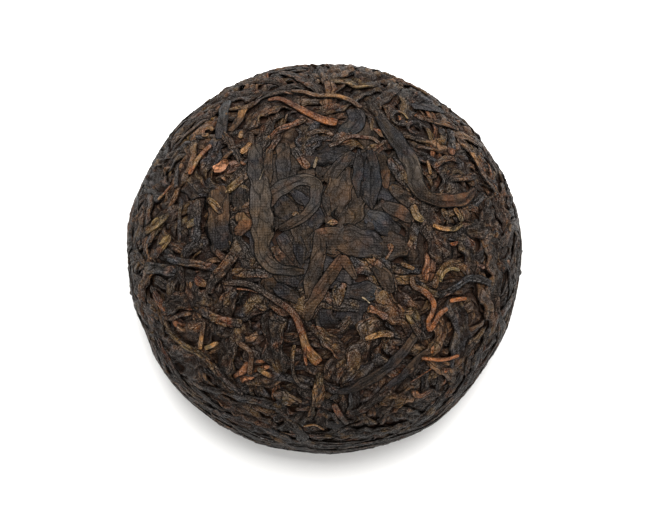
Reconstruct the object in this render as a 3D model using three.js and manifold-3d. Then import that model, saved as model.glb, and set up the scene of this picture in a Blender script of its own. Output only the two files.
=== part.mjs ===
// A nest of pressed tea: rolled leaves, stems and leaf blades pressed in a cloth into a dome
// with a hollow underside. It is one solid, a core with the leaves that show fused onto it.
// Millimetres, +Z up. The cake stands on a flat ring, and the origin is the middle of that ring.
import * as THREE from "three";
import { mergeVertices } from "three/addons/utils/BufferGeometryUtils.js";
import Module from "manifold-3d";

// Driving dimensions of the pressed cake.
const CAKE_DIAMETER = 83;
const CAKE_HEIGHT = 43;
const BELT_HEIGHT = 10.5; // where the cake is widest
const CROWN_FULLNESS = 2.3; // 2 makes the dome an ellipse, more makes its top flatter
const FOOT_RADIUS = 35; // outer edge of the ring that it stands on
const LIP = 4; // rounding of the ring into the hollow
const HOLLOW_RADIUS = 26.5; // where the lip ends
const HOLLOW_DEPTH = 21; // from the ring's plane
const HOLLOW_FULLNESS = 1.7;

// The leaves. Their tops reach up to the pressed surface, and the core lies this far under it.
const LEAF_RELIEF = 1.2;
const LEAF_THICKNESS = 2.6;
const LEAF_SIDES = 5; // one of them is the flat top
const LEAF_STEP = 4; // length of one stretch of a leaf
const LEAF_END = 0.4; // width of a leaf's ends, as a share of its middle
const FOOT_CLEARANCE = 0.25; // the leaves stay this far above the ring's plane

// The leaves between the large ones: how many, and their least and greatest sizes.
const DOME_FILL_COUNT = 88;
const HOLLOW_FILL_COUNT = 10;
const FILL_LENGTH = [9, 19];
const FILL_WIDTH = [2.4, 4.2];
const FILL_BOW = 0.06; // greatest turn of a leaf, in radians for each millimetre
const FILL_SUNK = [0, 0.4]; // depth of their tops under the pressed surface
const FILL_CLEARANCE = 3.5; // from the middle of one to the middle line of a large leaf
const FILL_SEED = 11;

// Swellings and flats of the outline, from the folds of the cloth: [bearing, half width, height],
// in degrees and millimetres. A bearing of 0 is +X and of 90 is +Y.
const OUTLINE_SWELLS = [
  [12, 14, 0.6],
  [52, 16, -0.4],
  [100, 14, -0.5],
  [136, 13, 0.5],
  [168, 7, 0.7],
  [204, 7, -0.7],
  [300, 9, 0.6],
  [330, 12, -0.4],
];

// The large leaves and stems that show on the dome: width, depth of the top under the pressed
// surface, and the points that each one passes over, in plan.
const LARGE_LEAVES = {
  red_stem: [1.9, 0, [[-11, 26.5], [-5, 24.6], [-1.5, 22.8], [3.2, 21]]],
  ochre_leaf: [2.0, 0.1, [[-14.6, 26], [-9.9, 28.5], [-1.9, 27.4], [7.5, 24.4]]],
  brown_bridge: [1.8, 0.1, [[0.9, 15.2], [4, 16.9], [7.7, 17.3], [11, 16]]],
  left_strap: [4.4, 0.1, [[-12.5, 15], [-11.8, 6], [-12.6, -1], [-11.5, -8]]],
  crown_hook: [2.0, 0.1, [[-3.1, 7.3], [-1.8, 3.2], [-5.1, 0], [-8.8, -2.6]]],
  crown_strap: [4.6, 0.2, [[-0.2, -2.3], [-2.2, -8.3], [-3.4, -14.5]]],
  folded_leaf: [2.1, 0, [[3.5, -8], [0.3, -12.5], [-3, -17.7], [-3.8, -19.3]]],
  crown_blade: [3.8, 0.1, [[8.6, 15.3], [8.6, 10], [8.6, 2]]],
  crown_fan: [3.6, 0.2, [[6.2, 16], [3, 12], [-0.8, 8.5]]],
  dark_blade: [4.6, 0.2, [[9, 2], [11.5, 0], [13.5, -3]]],
  grey_leaf: [2.8, 0.1, [[-20, 28.5], [-20.6, 23.5], [-20.8, 18.5]]],
  shoulder_blade: [3.2, 0, [[18, 26.5], [21.3, 27], [24.6, 27]]],
  upright_stem: [1.9, 0, [[25.8, 21.8], [25.9, 19.2], [25.7, 15.6]]],
  bent_leaf: [3.4, 0, [[10.5, 22.5], [16, 15.8], [18.2, 9], [20, 6.2], [24, 5], [30.3, 7.5]]],
  fat_bud: [3.8, 0, [[-25.7, 5.3], [-25.7, 1], [-25.7, -3.4]]],
  mottled_blade: [4.6, 0.2, [[-21.6, 5.5], [-21.2, 0.5], [-20.8, -4.5]]],
  left_runner: [2.1, 0.1, [[-31.2, -5.5], [-25.4, -7.7], [-21, -9]]],
  green_runner: [2.5, 0, [[-36.3, -6.3], [-33.3, -7.2], [-29.4, -8.7]]],
  brown_blade: [2.9, 0, [[-17, -6.1], [-19.7, -9.2], [-22.5, -13.8]]],
  red_roll: [2.3, 0, [[-24.4, -16.4], [-20.5, -18.9], [-16, -19.7]]],
  olive_runner: [2.0, 0.1, [[-32.4, -16.5], [-28, -22.3], [-23.1, -25.7], [-16, -32.3]]],
  long_stem: [1.9, 0, [[-19.5, -12], [-10, -15.4], [-4.3, -22], [-1, -27.5]]],
  dark_roll: [2.4, 0.1, [[14.8, -25.4], [10.4, -29], [2.3, -32.5]]],
  gold_tip: [2.5, 0.1, [[-1.4, -30.5], [-1, -32.4], [-1.2, -34.3]]],
  stem_hook: [1.8, 0, [[17.1, -11], [19.1, -13.4], [21.5, -16], [20.5, -19], [20.8, -20.6]]],
  right_arc: [2.0, 0.1, [[17.3, -11.6], [22.7, -13.9], [28.2, -10.3], [34.1, -10.2]]],
  right_curl: [2.0, 0.1, [[21.6, -12.8], [23.8, -8.4], [25.1, -7.6], [28.8, -9.1]]],
  gold_roll: [2.8, 0.1, [[16.3, -17.2], [18.2, -20], [19.5, -22.5]]],
};

const TEA_COLOUR = 0x3d342e;
const CORE_TURNS = 40; // flats around the core
const CORE_STEPS = 8; // along each long curve of the core's section
const SURFACE_STEPS = 60; // the same, for seating leaves on the pressed surface
const GOLDEN_TURN = Math.PI * (3 - Math.sqrt(5));

const wasm = await Module();
wasm.setup();

const lerp = THREE.MathUtils.lerp;

// Numbers from 0 to 1, the same ones each time.
function seededDraw(seed) {
  let state = seed;
  return () => {
    state = (Math.imul(state, 1664525) + 1013904223) >>> 0;
    return state / 2 ** 32;
  };
}

// A quarter of a superellipse from (0, height) to (radius, 0), both ends included.
function quarterCurve(radius, height, fullness, steps) {
  const points = [];
  for (let i = 0; i <= steps; i++) {
    const turn = ((Math.PI / 2) * i) / steps;
    points.push(
      new THREE.Vector2(
        i === 0 ? 0 : radius * Math.sin(turn) ** (2 / fullness),
        i === steps ? 0 : height * Math.cos(turn) ** (2 / fullness),
      ),
    );
  }
  return points;
}

// Half of the cake's section, from the crown over the belt and the ring to the top of the hollow.
// The inset shrinks it on every side but the ring's.
function halfSection(inset, steps) {
  const fewer = Math.ceil(steps / 3);
  const belt = CAKE_DIAMETER / 2 - inset;
  const dome = quarterCurve(belt, CAKE_HEIGHT - inset - BELT_HEIGHT, CROWN_FULLNESS, steps);
  const under = quarterCurve(belt - FOOT_RADIUS, BELT_HEIGHT, 2, fewer).reverse();
  const lip = quarterCurve(LIP - inset, LIP, 2, fewer);
  const top = HOLLOW_DEPTH + inset - LIP;
  const hollow = quarterCurve(HOLLOW_RADIUS + inset, top, HOLLOW_FULLNESS, steps).reverse();
  return [
    ...dome.map((p) => new THREE.Vector2(p.x, BELT_HEIGHT + p.y)),
    ...under.slice(1).map((p) => new THREE.Vector2(FOOT_RADIUS + p.x, BELT_HEIGHT - p.y)),
    ...lip.map((p) => new THREE.Vector2(HOLLOW_RADIUS + LIP - p.x, LIP - p.y)),
    ...hollow.slice(1).map((p) => new THREE.Vector2(p.x, LIP + p.y)),
  ];
}

// How far the outline swells at a bearing, fading from the belt to the crown and the ring.
function swell(point) {
  const bearing = THREE.MathUtils.radToDeg(Math.atan2(point.y, point.x));
  const fade = Math.exp(-(((point.z - BELT_HEIGHT) / BELT_HEIGHT) ** 2));
  let height = 0;
  for (const [at, halfWidth, most] of OUTLINE_SWELLS) {
    const away = THREE.MathUtils.euclideanModulo(bearing - at + 180, 360) - 180;
    height += most * Math.exp(-((away / halfWidth) ** 2));
  }
  return height * fade;
}

function swollen(point) {
  const radius = Math.hypot(point.x, point.y);
  const share = radius > FOOT_RADIUS ? 1 + swell(point) / radius : 1;
  return point.set(point.x * share, point.y * share, point.z);
}

// The closest point of the pressed surface, the way out of it, and how far along the section it is.
const pressedSection = halfSection(0, SURFACE_STEPS);
function seat(point) {
  const radius = Math.hypot(point.x, point.y);
  const flat = new THREE.Vector2(radius, point.z);
  let best = 1;
  let nearest = Infinity;
  const found = new THREE.Vector2();
  for (let i = 1; i < pressedSection.length; i++) {
    const from = pressedSection[i - 1];
    const along = pressedSection[i].clone().sub(from);
    const share = flat.clone().sub(from).dot(along) / along.lengthSq();
    const close = along.clone().multiplyScalar(THREE.MathUtils.clamp(share, 0, 1)).add(from);
    const gap = close.distanceToSquared(flat);
    if (gap < nearest) {
      nearest = gap;
      best = i;
      found.copy(close);
    }
  }
  const run = pressedSection[best].clone().sub(pressedSection[best - 1]).normalize();
  const outX = radius > 0 ? point.x / radius : 1;
  const outY = radius > 0 ? point.y / radius : 0;
  return {
    point: new THREE.Vector3(found.x * outX, found.x * outY, found.y),
    normal: new THREE.Vector3(-run.y * outX, -run.y * outY, run.x),
  };
}

// A closed solid from a geometry, by its positions alone.
function solidOf(geometry) {
  geometry.deleteAttribute("normal");
  geometry.deleteAttribute("uv");
  const merged = mergeVertices(geometry);
  return new wasm.Manifold(
    new wasm.Mesh({
      numProp: 3,
      vertProperties: merged.getAttribute("position").array,
      triVerts: new Uint32Array(merged.index.array),
    }),
  );
}

// Moves each vertex of a geometry to the place that a function gives.
function reshape(geometry, placeOf) {
  const position = geometry.getAttribute("position");
  const vertex = new THREE.Vector3();
  for (let i = 0; i < position.count; i++) {
    const place = placeOf(vertex.fromBufferAttribute(position, i));
    position.setXYZ(i, place.x, place.y, place.z);
  }
  return geometry;
}

function pressedCore() {
  const section = halfSection(LEAF_RELIEF, CORE_STEPS).reverse();
  const turned = new THREE.LatheGeometry(section, CORE_TURNS).rotateX(Math.PI / 2);
  return solidOf(reshape(turned, swollen));
}

// A leaf: a tapered roll that follows a route over the pressed surface, its top at a given depth.
function pressedLeaf(route, width, sunk) {
  const curve = new THREE.CatmullRomCurve3(route.map((p) => seat(p).point));
  const steps = Math.max(3, Math.round(curve.getLength() / LEAF_STEP));
  const halfSide = Math.PI / LEAF_SIDES;
  const roll = new THREE.CylinderGeometry(1, 1, 1, LEAF_SIDES, steps, false, halfSide);
  const thickness = Math.min(LEAF_THICKNESS, width);
  const placeOf = (vertex) => {
    const along = THREE.MathUtils.clamp(vertex.y + 0.5, 0, 1);
    const taper = lerp(LEAF_END, 1, Math.sqrt(Math.sin(Math.PI * along)));
    const middle = seat(curve.getPointAt(along));
    const side = curve.getTangentAt(along).cross(middle.normal).normalize();
    const across = middle.point.addScaledVector(side, (vertex.x * taper * width) / 2);
    const under = seat(across);
    const rise = (vertex.z / Math.cos(halfSide)) * taper;
    const depth = sunk + (thickness / 2) * (1 - rise);
    const place = swollen(under.point.addScaledVector(under.normal, -depth));
    place.z = Math.max(place.z, FOOT_CLEARANCE);
    return place;
  };
  return solidOf(reshape(roll, placeOf));
}

// The height of the dome over a point in plan.
function onDome([x, y]) {
  const share = Math.min(1, Math.hypot(x, y) / (CAKE_DIAMETER / 2));
  const rise = (1 - share ** CROWN_FULLNESS) ** (1 / CROWN_FULLNESS);
  return new THREE.Vector3(x, y, BELT_HEIGHT + (CAKE_HEIGHT - BELT_HEIGHT) * rise);
}

const largeRoutes = Object.values(LARGE_LEAVES).map(([width, sunk, plan]) => ({
  width,
  sunk,
  route: plan.map(onDome),
}));

function largeLeaves() {
  return largeRoutes.map(({ route, width, sunk }) => pressedLeaf(route, width, sunk));
}

// A point that one step from another leads to over the pressed surface. A heading of 0 goes round
// the cake, and of a quarter turn goes up or down it.
function stepOver(from, heading, step) {
  const { point, normal } = seat(from);
  const round = new THREE.Vector3(-point.y, point.x, 0).normalize();
  const down = round.clone().cross(normal);
  point.addScaledVector(round, step * Math.cos(heading));
  point.addScaledVector(down, step * Math.sin(heading));
  return seat(point).point;
}

// Five points of a bowed walk over the pressed surface, both ways from its middle.
function bowedRoute(middle, heading, length, bow) {
  const step = length / 4;
  const turn = bow * step;
  const ahead = stepOver(middle, heading, step);
  const behind = stepOver(middle, heading, -step);
  const front = stepOver(ahead, heading + turn, step);
  const back = stepOver(behind, heading - turn, -step);
  return [back, behind, middle, ahead, front];
}

// Points spread evenly by area over a part of the pressed section.
function evenPlaces(section, count) {
  const strips = [];
  let area = 0;
  for (let i = 1; i < section.length; i++) {
    area += section[i - 1].distanceTo(section[i]) * (section[i - 1].x + section[i].x);
    strips.push({ middle: section[i - 1].clone().lerp(section[i], 0.5), upTo: area });
  }
  return Array.from({ length: count }, (_, i) => {
    const { middle } = strips.find((strip) => strip.upTo >= ((i + 0.5) / count) * area);
    const bearing = i * GOLDEN_TURN;
    return new THREE.Vector3(
      middle.x * Math.cos(bearing),
      middle.x * Math.sin(bearing),
      middle.y,
    );
  });
}

// The smaller leaves that fill the places between. On the steep sides they lie round the cake.
function fillLeaves() {
  const draw = seededDraw(FILL_SEED);
  const ring = pressedSection.findIndex((p) => p.y === 0);
  const places = [
    ...evenPlaces(pressedSection.slice(0, ring), DOME_FILL_COUNT),
    ...evenPlaces(pressedSection.slice(ring + 1), HOLLOW_FILL_COUNT),
  ];
  const taken = largeRoutes.flatMap(({ route }) => new THREE.CatmullRomCurve3(route).getPoints());
  const free = places.filter((p) => taken.every((t) => t.distanceTo(p) > FILL_CLEARANCE));
  return free.map((place) => {
    const steep = 1 - Math.abs(seat(place).normal.z);
    const heading = (draw() - 0.5) * Math.PI * (1 - steep);
    const length = lerp(...FILL_LENGTH, draw());
    const route = bowedRoute(place, heading, length, lerp(-FILL_BOW, FILL_BOW, draw()));
    return pressedLeaf(route, lerp(...FILL_WIDTH, draw()), lerp(...FILL_SUNK, draw()));
  });
}

// Joins the pieces. The largest body is kept, which drops loose scraps and fills sealed gaps.
function fused(pieces) {
  const joined = pieces.reduce((cake, piece) => cake.add(piece));
  return joined.decompose().reduce((a, b) => (a.volume() > b.volume() ? a : b));
}

// The solid as a geometry, with its box's bottom centre at the origin.
function geometryOf(solid) {
  const { vertProperties, triVerts } = solid.getMesh();
  const geometry = new THREE.BufferGeometry();
  geometry.setAttribute("position", new THREE.BufferAttribute(vertProperties, 3));
  geometry.setIndex(new THREE.BufferAttribute(triVerts, 1));
  geometry.computeBoundingBox();
  const centre = geometry.boundingBox.getCenter(new THREE.Vector3());
  geometry.translate(-centre.x, -centre.y, -geometry.boundingBox.min.z);
  geometry.computeVertexNormals();
  return geometry;
}

const tea = new THREE.Mesh(
  geometryOf(fused([pressedCore(), ...largeLeaves(), ...fillLeaves()])),
  new THREE.MeshStandardMaterial({ color: TEA_COLOUR, roughness: 0.6, metalness: 0 }),
);
tea.name = "pressed_tea";

const cake = new THREE.Group();
cake.add(tea);

export default cake;
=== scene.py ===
"""A nest of pressed tea: a dome of dark rolled leaves, pressed in a cloth around a hollow.

The leaves are tucked in one under another from the pressed surface inwards, as they lie in the
cloth: the first ones lie in the surface, and the later ones fill the gaps between them.
Lengths are millimetres up to the meshes, which are metres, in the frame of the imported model.
"""

import math
from typing import NamedTuple

import bpy
import numpy as np
from bpy.props import FloatProperty, FloatVectorProperty, IntProperty, PointerProperty
from bpy.types import Operator, Panel, PropertyGroup
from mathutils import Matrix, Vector


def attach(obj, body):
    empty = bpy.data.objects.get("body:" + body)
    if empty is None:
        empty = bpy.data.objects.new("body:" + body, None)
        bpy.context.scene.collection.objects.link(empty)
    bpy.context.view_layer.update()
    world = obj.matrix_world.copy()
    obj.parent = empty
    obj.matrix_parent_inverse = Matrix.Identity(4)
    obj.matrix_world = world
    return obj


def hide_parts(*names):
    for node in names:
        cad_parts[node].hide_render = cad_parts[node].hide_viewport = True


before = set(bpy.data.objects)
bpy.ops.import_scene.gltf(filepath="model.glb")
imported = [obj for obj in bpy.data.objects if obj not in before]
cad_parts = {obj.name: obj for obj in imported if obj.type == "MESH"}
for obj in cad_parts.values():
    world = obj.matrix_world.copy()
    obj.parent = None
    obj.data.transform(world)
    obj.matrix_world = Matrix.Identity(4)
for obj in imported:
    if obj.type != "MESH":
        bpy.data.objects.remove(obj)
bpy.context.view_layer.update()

bl_info = {
    "name": "Pressed Tea Nest",
    "version": (1, 0, 0),
    "blender": (4, 5, 0),
    "location": "3D View > Sidebar > Tea",
    "description": "Builds a nest of pressed tea leaf by leaf, and a plain studio around it",
    "category": "Add Mesh",
}

MM = 0.001
NODE = "pressed_tea"
BODY = "root"
GOLDEN_TURN = math.pi * (3 - math.sqrt(5))


def linear(code):
    """An sRGB colour written as #rrggbb, as linear red, green and blue."""
    parts = [int(code[i : i + 2], 16) / 255 for i in (1, 3, 5)]
    return tuple(c / 12.92 if c <= 0.04045 else ((c + 0.055) / 1.055) ** 2.4 for c in parts)


def size(name, description, millimetres):
    """A length that a user can change."""
    return FloatProperty(
        name=name, description=description, default=millimetres * MM, unit="LENGTH", precision=4
    )


def colour(name, description, code):
    """A colour that a user can change."""
    return FloatVectorProperty(
        name=name, description=description, subtype="COLOR", min=0, max=1, default=linear(code)
    )


class TeaNestSizes(PropertyGroup):
    """The pressed shape, and how the leaves are laid."""

    diameter: size("Diameter", "Width across the belt", 83.0)
    height: size("Height", "From the foot ring to the crown", 43.0)
    belt: size("Belt height", "Height of the widest place", 10.5)
    crown_fullness: FloatProperty(
        name="Crown fullness", description="2 is an ellipse, more is flatter on top", default=2.3
    )
    foot_radius: size("Foot radius", "Outer edge of the ring that the nest stands on", 35.0)
    lip: size("Lip", "Rounding of the foot ring into the hollow", 4.0)
    hollow_radius: size("Hollow radius", "Radius of the hollow above its lip", 26.5)
    hollow_depth: size("Hollow depth", "From the foot ring to the top of the hollow", 21.0)
    hollow_fullness: FloatProperty(
        name="Hollow fullness", description="As for the crown", default=1.7
    )
    crown_patch: size("Flat crown", "Reach of the smooth patch that the cloth pressed flat", 19.0)
    core_inset: size("Core inset", "Depth of the core under the pressed surface", 1.5)
    seed: IntProperty(name="Seed", description="Chooses the way the leaves fall", default=5)


class TeaLeafColours(PropertyGroup):
    """The tones of the leaves, from black leaf to bright stem and bud."""

    charcoal: colour("Charcoal", "Black leaf", "#232020")
    slate: colour("Slate", "Black leaf with a cool sheen", "#2b2c2e")
    taupe: colour("Taupe", "Leaf dulled by the cloth", "#443c34")
    fawn: colour("Fawn", "Brown leaf dulled by the cloth", "#5a4733")
    umber: colour("Umber", "Dark brown leaf", "#2e231a")
    brown: colour("Brown", "Brown leaf", "#443121")
    russet: colour("Russet", "Red-brown leaf and young stem", "#573723")
    tan: colour("Tan", "Bright stem", "#6c4124")
    ochre: colour("Ochre", "Yellow-brown leaf", "#6b4d2f")
    olive: colour("Olive", "Green-gold leaf", "#4f3f28")
    gold: colour("Gold", "Bud and its down", "#74603f")
    pink: colour("Pink", "Torn stem", "#ab7656")
    cream: colour("Cream", "Bare wood of a stem", "#cdb891")


class TeaStudio(PropertyGroup):
    """The camera, the floor and the lights."""

    elevation: FloatProperty(
        name="Camera elevation", description="Angle above the floor", subtype="ANGLE",
        default=math.radians(76),
    )
    distance: size("Camera distance", "From the point aimed at", 381.3)
    aim_height: size("Aim height", "Height of the point aimed at, on the nest's axis", 10.18)
    lens: FloatProperty(name="Lens", description="Focal length", unit="CAMERA", default=100.0)
    floor: colour("Floor", "Paper under the nest", "#f4f3f1")
    key_watts: FloatProperty(name="Key", description="Large light above and behind", default=27.0)
    fill_watts: FloatProperty(name="Fill", description="Large light in front", default=4.8)
    sky: FloatProperty(name="Sky", description="Even light from all round", default=0.5)


TONES = list(TeaLeafColours.__annotations__)


def quarter_curve(radius, height, fullness, steps=90):
    """A quarter of a superellipse from (0, height) to (radius, 0)."""
    turn = np.linspace(0, math.pi / 2, steps + 1)
    power = 2 / fullness
    return np.column_stack([radius * np.sin(turn) ** power, height * np.cos(turn) ** power])


def dome_section(sizes):
    """Radius and height of the pressed surface from the crown over the belt to the foot ring."""
    radius, belt, foot = sizes.diameter / 2 / MM, sizes.belt / MM, sizes.foot_radius / MM
    dome = quarter_curve(radius, sizes.height / MM - belt, sizes.crown_fullness) + (0, belt)
    under = quarter_curve(radius - foot, belt, 2)[::-1] * (1, -1) + (foot, belt)
    return np.concatenate([dome, under[1:]])


def hollow_section(sizes):
    """Radius and height of the pressed surface from the top of the hollow to the foot ring."""
    radius, depth, lip = sizes.hollow_radius / MM, sizes.hollow_depth / MM, sizes.lip / MM
    wall = quarter_curve(radius, depth - lip, sizes.hollow_fullness) + (0, lip)
    round_lip = quarter_curve(lip, lip, 2)[::-1] * (-1, -1) + (radius + lip, lip)
    ring = np.array([[sizes.foot_radius / MM, 0.0]])
    return np.concatenate([wall, round_lip[1:], ring])


# Swellings and flats of the outline from the folds of the cloth: bearing and half width in
# degrees, and height in millimetres. A bearing of 0 is +X and of 90 is +Y.
OUTLINE_SWELLS = (
    (12, 14, 0.6), (52, 16, -0.4), (100, 14, -0.5), (136, 13, 0.5),
    (168, 7, 0.7), (204, 7, -0.7), (300, 9, 0.6), (330, 12, -0.4),
)


def outline_swell(bearing):
    """How far the belt swells out at each bearing."""
    degrees = np.degrees(bearing)
    swell = np.zeros_like(degrees)
    for at, half_width, height in OUTLINE_SWELLS:
        away = (degrees - at + 180) % 360 - 180
        swell += height * np.exp(-((away / half_width) ** 2))
    return swell


def smooth_step(value, low, high):
    """0 up to the low end, 1 from the high end, and a smooth rise between them."""
    share = np.clip((value - low) / (high - low), 0, 1)
    return share * share * (3 - 2 * share)


NO_CROWN = 0.01  # reach of the flat patch of a face that has none


class Face:
    """One face of the nest, unrolled about its apex onto a flat map.

    The distance from the middle of the map is the distance over the surface from the apex. The
    map keeps how deep the leaves fill it so far, and the depth and number of the leaf that shows.
    """

    CELL = 0.4  # width of a cell of the map
    STEP = 0.25  # step along the section
    SAMPLE = 0.7 * CELL  # step between the places where a leaf feels for those above it
    CLOTH = 2.2  # reach within which the cloth levels the leaves
    LANES = 9  # places across a leaf where it bulges by itself
    UNSEEN = 99.0  # depth of a cell that no leaf shows in
    DEEPEST = 2.5  # deepest gap that a leaf bulges into, and that the cloth levels
    DIVED = 0.3  # an end that dips further covers nothing
    LEVEL = 0.3  # depth that the cloth brings the leaves to: by a share, and more on the crown
    LEVELLED = 0.55
    LEVELLED_ON_CROWN = 0.35
    PACKED = 2.4  # depth beyond which nothing lies once it is packed
    FLAT_CROWN = 0.58  # share of the relief that the press takes off the crown, and off the belt
    FLAT_BELT = 0.3
    UNEVEN = 0.1  # half the depth of the slow unevenness of the sides
    SWELL_HEIGHT = 10.5  # height of the swellings of the outline, and how far they reach from it
    SWELL_REACH = (30, 45)  # distances from the apex between which they begin

    def __init__(self, section, outward, crown_patch):
        steps = np.hypot(*np.diff(section, axis=0).T)
        along = np.concatenate([[0], np.cumsum(steps)])
        self.reach = np.linspace(0, along[-1], int(along[-1] / self.STEP))
        self.radius = np.interp(self.reach, along, section[:, 0])
        self.height = np.interp(self.reach, along, section[:, 1])
        slope = np.gradient(np.column_stack([self.radius, self.height]), self.reach, axis=0)
        slope /= np.linalg.norm(slope, axis=1, keepdims=True)
        self.normal = outward * np.column_stack([-slope[:, 1], slope[:, 0]])
        self.outward = outward
        self.crown_patch = crown_patch
        self.end = self.reach[-1]
        self.half = int(self.end / self.CELL) + 2
        self.filled = np.zeros((2 * self.half + 1,) * 2)
        self.shown = np.full(self.filled.shape, self.UNSEEN)
        self.topmost = np.full(self.filled.shape, -1)
        self.level = np.zeros(self.filled.shape)
        self.laid = 0

    def cells(self, places):
        """Rows and columns of the map at places on it."""
        index = np.rint(places / self.CELL).astype(int) + self.half
        index = np.clip(index, 0, 2 * self.half)
        return index[..., 1], index[..., 0]

    def stretch(self, places):
        """True length round the nest for each millimetre round the map."""
        reach = np.maximum(np.linalg.norm(places, axis=-1), self.STEP)
        return np.interp(reach, self.reach, self.radius) / reach

    def sideways(self, lines):
        """The map's step for one true millimetre to the right of each line, seen from outside."""
        ahead = np.gradient(lines, axis=-2)
        out = lines / np.maximum(np.linalg.norm(lines, axis=-1, keepdims=True), 1e-6)
        around = np.stack([-out[..., 1], out[..., 0]], -1)
        stretch = self.stretch(lines)
        outwards = (ahead * out).sum(-1)
        round_it = (ahead * around).sum(-1) * stretch
        length = np.maximum(np.hypot(outwards, round_it), 1e-9)
        return (
            out * (round_it / length)[..., None]
            - around * (outwards / length / stretch)[..., None]
        )

    def tuck(self, number, line, side, half_width, thickness, dip, kind):
        """Tucks one leaf under those already there.

        Gives the depth of its top along it, and how far it bulges into the gaps above it, in
        places across it.
        """
        gaps = np.linalg.norm(np.diff(line, axis=0), axis=1)
        along = np.concatenate([[0], np.cumsum(gaps)])
        fine = np.linspace(0, along[-1], max(4, int(along[-1] / self.SAMPLE)))

        def sample(values):
            return np.interp(fine, along, values)

        middle = np.column_stack([sample(line[:, 0]), sample(line[:, 1])])
        right = np.column_stack([sample(side[:, 0]), sample(side[:, 1])])
        across = np.linspace(-1, 1, max(3, int(2 * half_width.max() / self.SAMPLE)))
        offset = across[None, :] * sample(half_width)[:, None]
        cells = self.cells(middle[:, None] + right[:, None] * offset[..., None])
        above = self.filled[cells]
        cover = np.sort(above, axis=1)[:, above.shape[1] // 2 :].mean(axis=1)
        window = np.hanning(max(3, int(kind.stiffness / self.SAMPLE)) + 2)
        padded = np.pad(cover, len(window), "edge")
        roof = np.convolve(padded, window / window.sum(), "same")[len(window) : -len(window)]
        dip = sample(dip)
        roof = roof + dip
        bulge = kind.soft * np.clip(roof[:, None] - above, 0, self.DEEPEST)
        arch = np.sqrt(1 - 0.8 * across[None, :] ** 2)
        thick = sample(thickness)[:, None]
        top = roof[:, None] - bulge + 0.5 * thick * (1 - arch)
        under = roof[:, None] - bulge + thick * (0.4 + 0.6 * arch)
        higher = top < self.shown[cells]
        self.shown[cells] = np.minimum(self.shown[cells], top)
        covers = np.where((dip < self.DIVED)[:, None], under, 0)
        self.filled[cells] = np.maximum(self.filled[cells], covers)
        rows, columns = cells
        self.topmost[rows[higher], columns[higher]] = number
        rows = np.rint(np.interp(along, fine, np.arange(len(fine)))).astype(int)
        columns = np.rint(np.linspace(0, len(across) - 1, self.LANES)).astype(int)
        return np.interp(along, fine, roof), bulge[rows][:, columns]

    def level_off(self):
        """Keeps how deep the shown leaves lie on average about each cell."""
        rows, columns = np.indices(self.shown.shape) - self.half
        inside = 1.0 * (np.hypot(rows, columns) * self.CELL < self.end)
        window = np.hanning(2 * int(self.CLOTH / self.CELL) + 1)
        self.level = np.minimum(self.shown, self.DEEPEST) * inside
        for axis in (0, 1):
            self.level = np.apply_along_axis(np.convolve, axis, self.level, window, "same")
            inside = np.apply_along_axis(np.convolve, axis, inside, window, "same")
        self.level /= np.maximum(inside, 1e-6)

    def level_at(self, places):
        """The level between the cells."""
        at = np.clip(places / self.CELL + self.half, 0, 2 * self.half - 0.01)
        low = at.astype(int)
        x, y = np.moveaxis(at - low, -1, 0)
        column, row = np.moveaxis(low, -1, 0)
        near = self.level[row, column] * (1 - x) + self.level[row, column + 1] * x
        far = self.level[row + 1, column] * (1 - x) + self.level[row + 1, column + 1] * x
        return near * (1 - y) + far * y

    def crown(self, places):
        """1 on the flat crown, 0 on the sides."""
        reach = np.linalg.norm(places, axis=-1)
        return 1 - smooth_step(reach, 0.7 * self.crown_patch, 1.3 * self.crown_patch)

    def pressed(self, places, depth):
        """A depth after the press: the cloth levels the crown most, and nothing quite evenly."""
        crown = self.crown(places)
        x, y = np.moveaxis(places, -1, 0)
        uneven = np.sin(0.31 * x + 1.0) * np.sin(0.27 * y + 2.0) + np.sin(0.17 * (x + y))
        levelled = self.LEVELLED + self.LEVELLED_ON_CROWN * crown
        depth = depth - levelled * (self.level_at(places) - self.LEVEL)
        packed = depth / (1 + np.maximum(depth, 0) / self.PACKED)
        low_down = smooth_step(np.linalg.norm(places, axis=-1), 0.58 * self.end, 0.75 * self.end)
        on_belt = low_down * (self.outward > 0)
        packed = packed * (1 - self.FLAT_CROWN * crown - self.FLAT_BELT * on_belt)
        return packed + self.UNEVEN * (1 + uneven) * (1 - crown)

    def points(self, places, depth):
        """Points in space at a depth under places on the map."""
        reach = np.linalg.norm(places, axis=-1)
        out = places / np.maximum(reach, 1e-6)[..., None]
        radius, height = (np.interp(reach, self.reach, v) for v in (self.radius, self.height))
        normal = [np.interp(reach, self.reach, self.normal[:, i]) for i in (0, 1)]
        radius = radius - depth * normal[0]
        height = height - depth * normal[1]
        if self.outward > 0:
            bearing = np.arctan2(places[..., 1], places[..., 0])
            fade = np.exp(-(((height - self.SWELL_HEIGHT) / self.SWELL_HEIGHT) ** 2))
            fade = fade * smooth_step(reach, *self.SWELL_REACH)
            radius = radius + outline_swell(bearing) * fade
        height = np.maximum(height, 0)
        return np.stack([out[..., 0] * radius, out[..., 1] * radius, height], -1)

    def section_at(self, depth):
        """Radius and height of the section at a depth under the face."""
        return np.column_stack([self.radius, self.height]) - depth * self.normal

    def place_over(self, plan):
        """Places on the dome's map under points in plan."""
        plan = np.asarray(plan, float)
        radius = np.linalg.norm(plan, axis=-1)
        widest = int(self.radius.argmax()) + 1
        reach = np.interp(radius, self.radius[:widest], self.reach[:widest])
        return plan * (reach / np.maximum(radius, 1e-6))[..., None]


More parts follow.
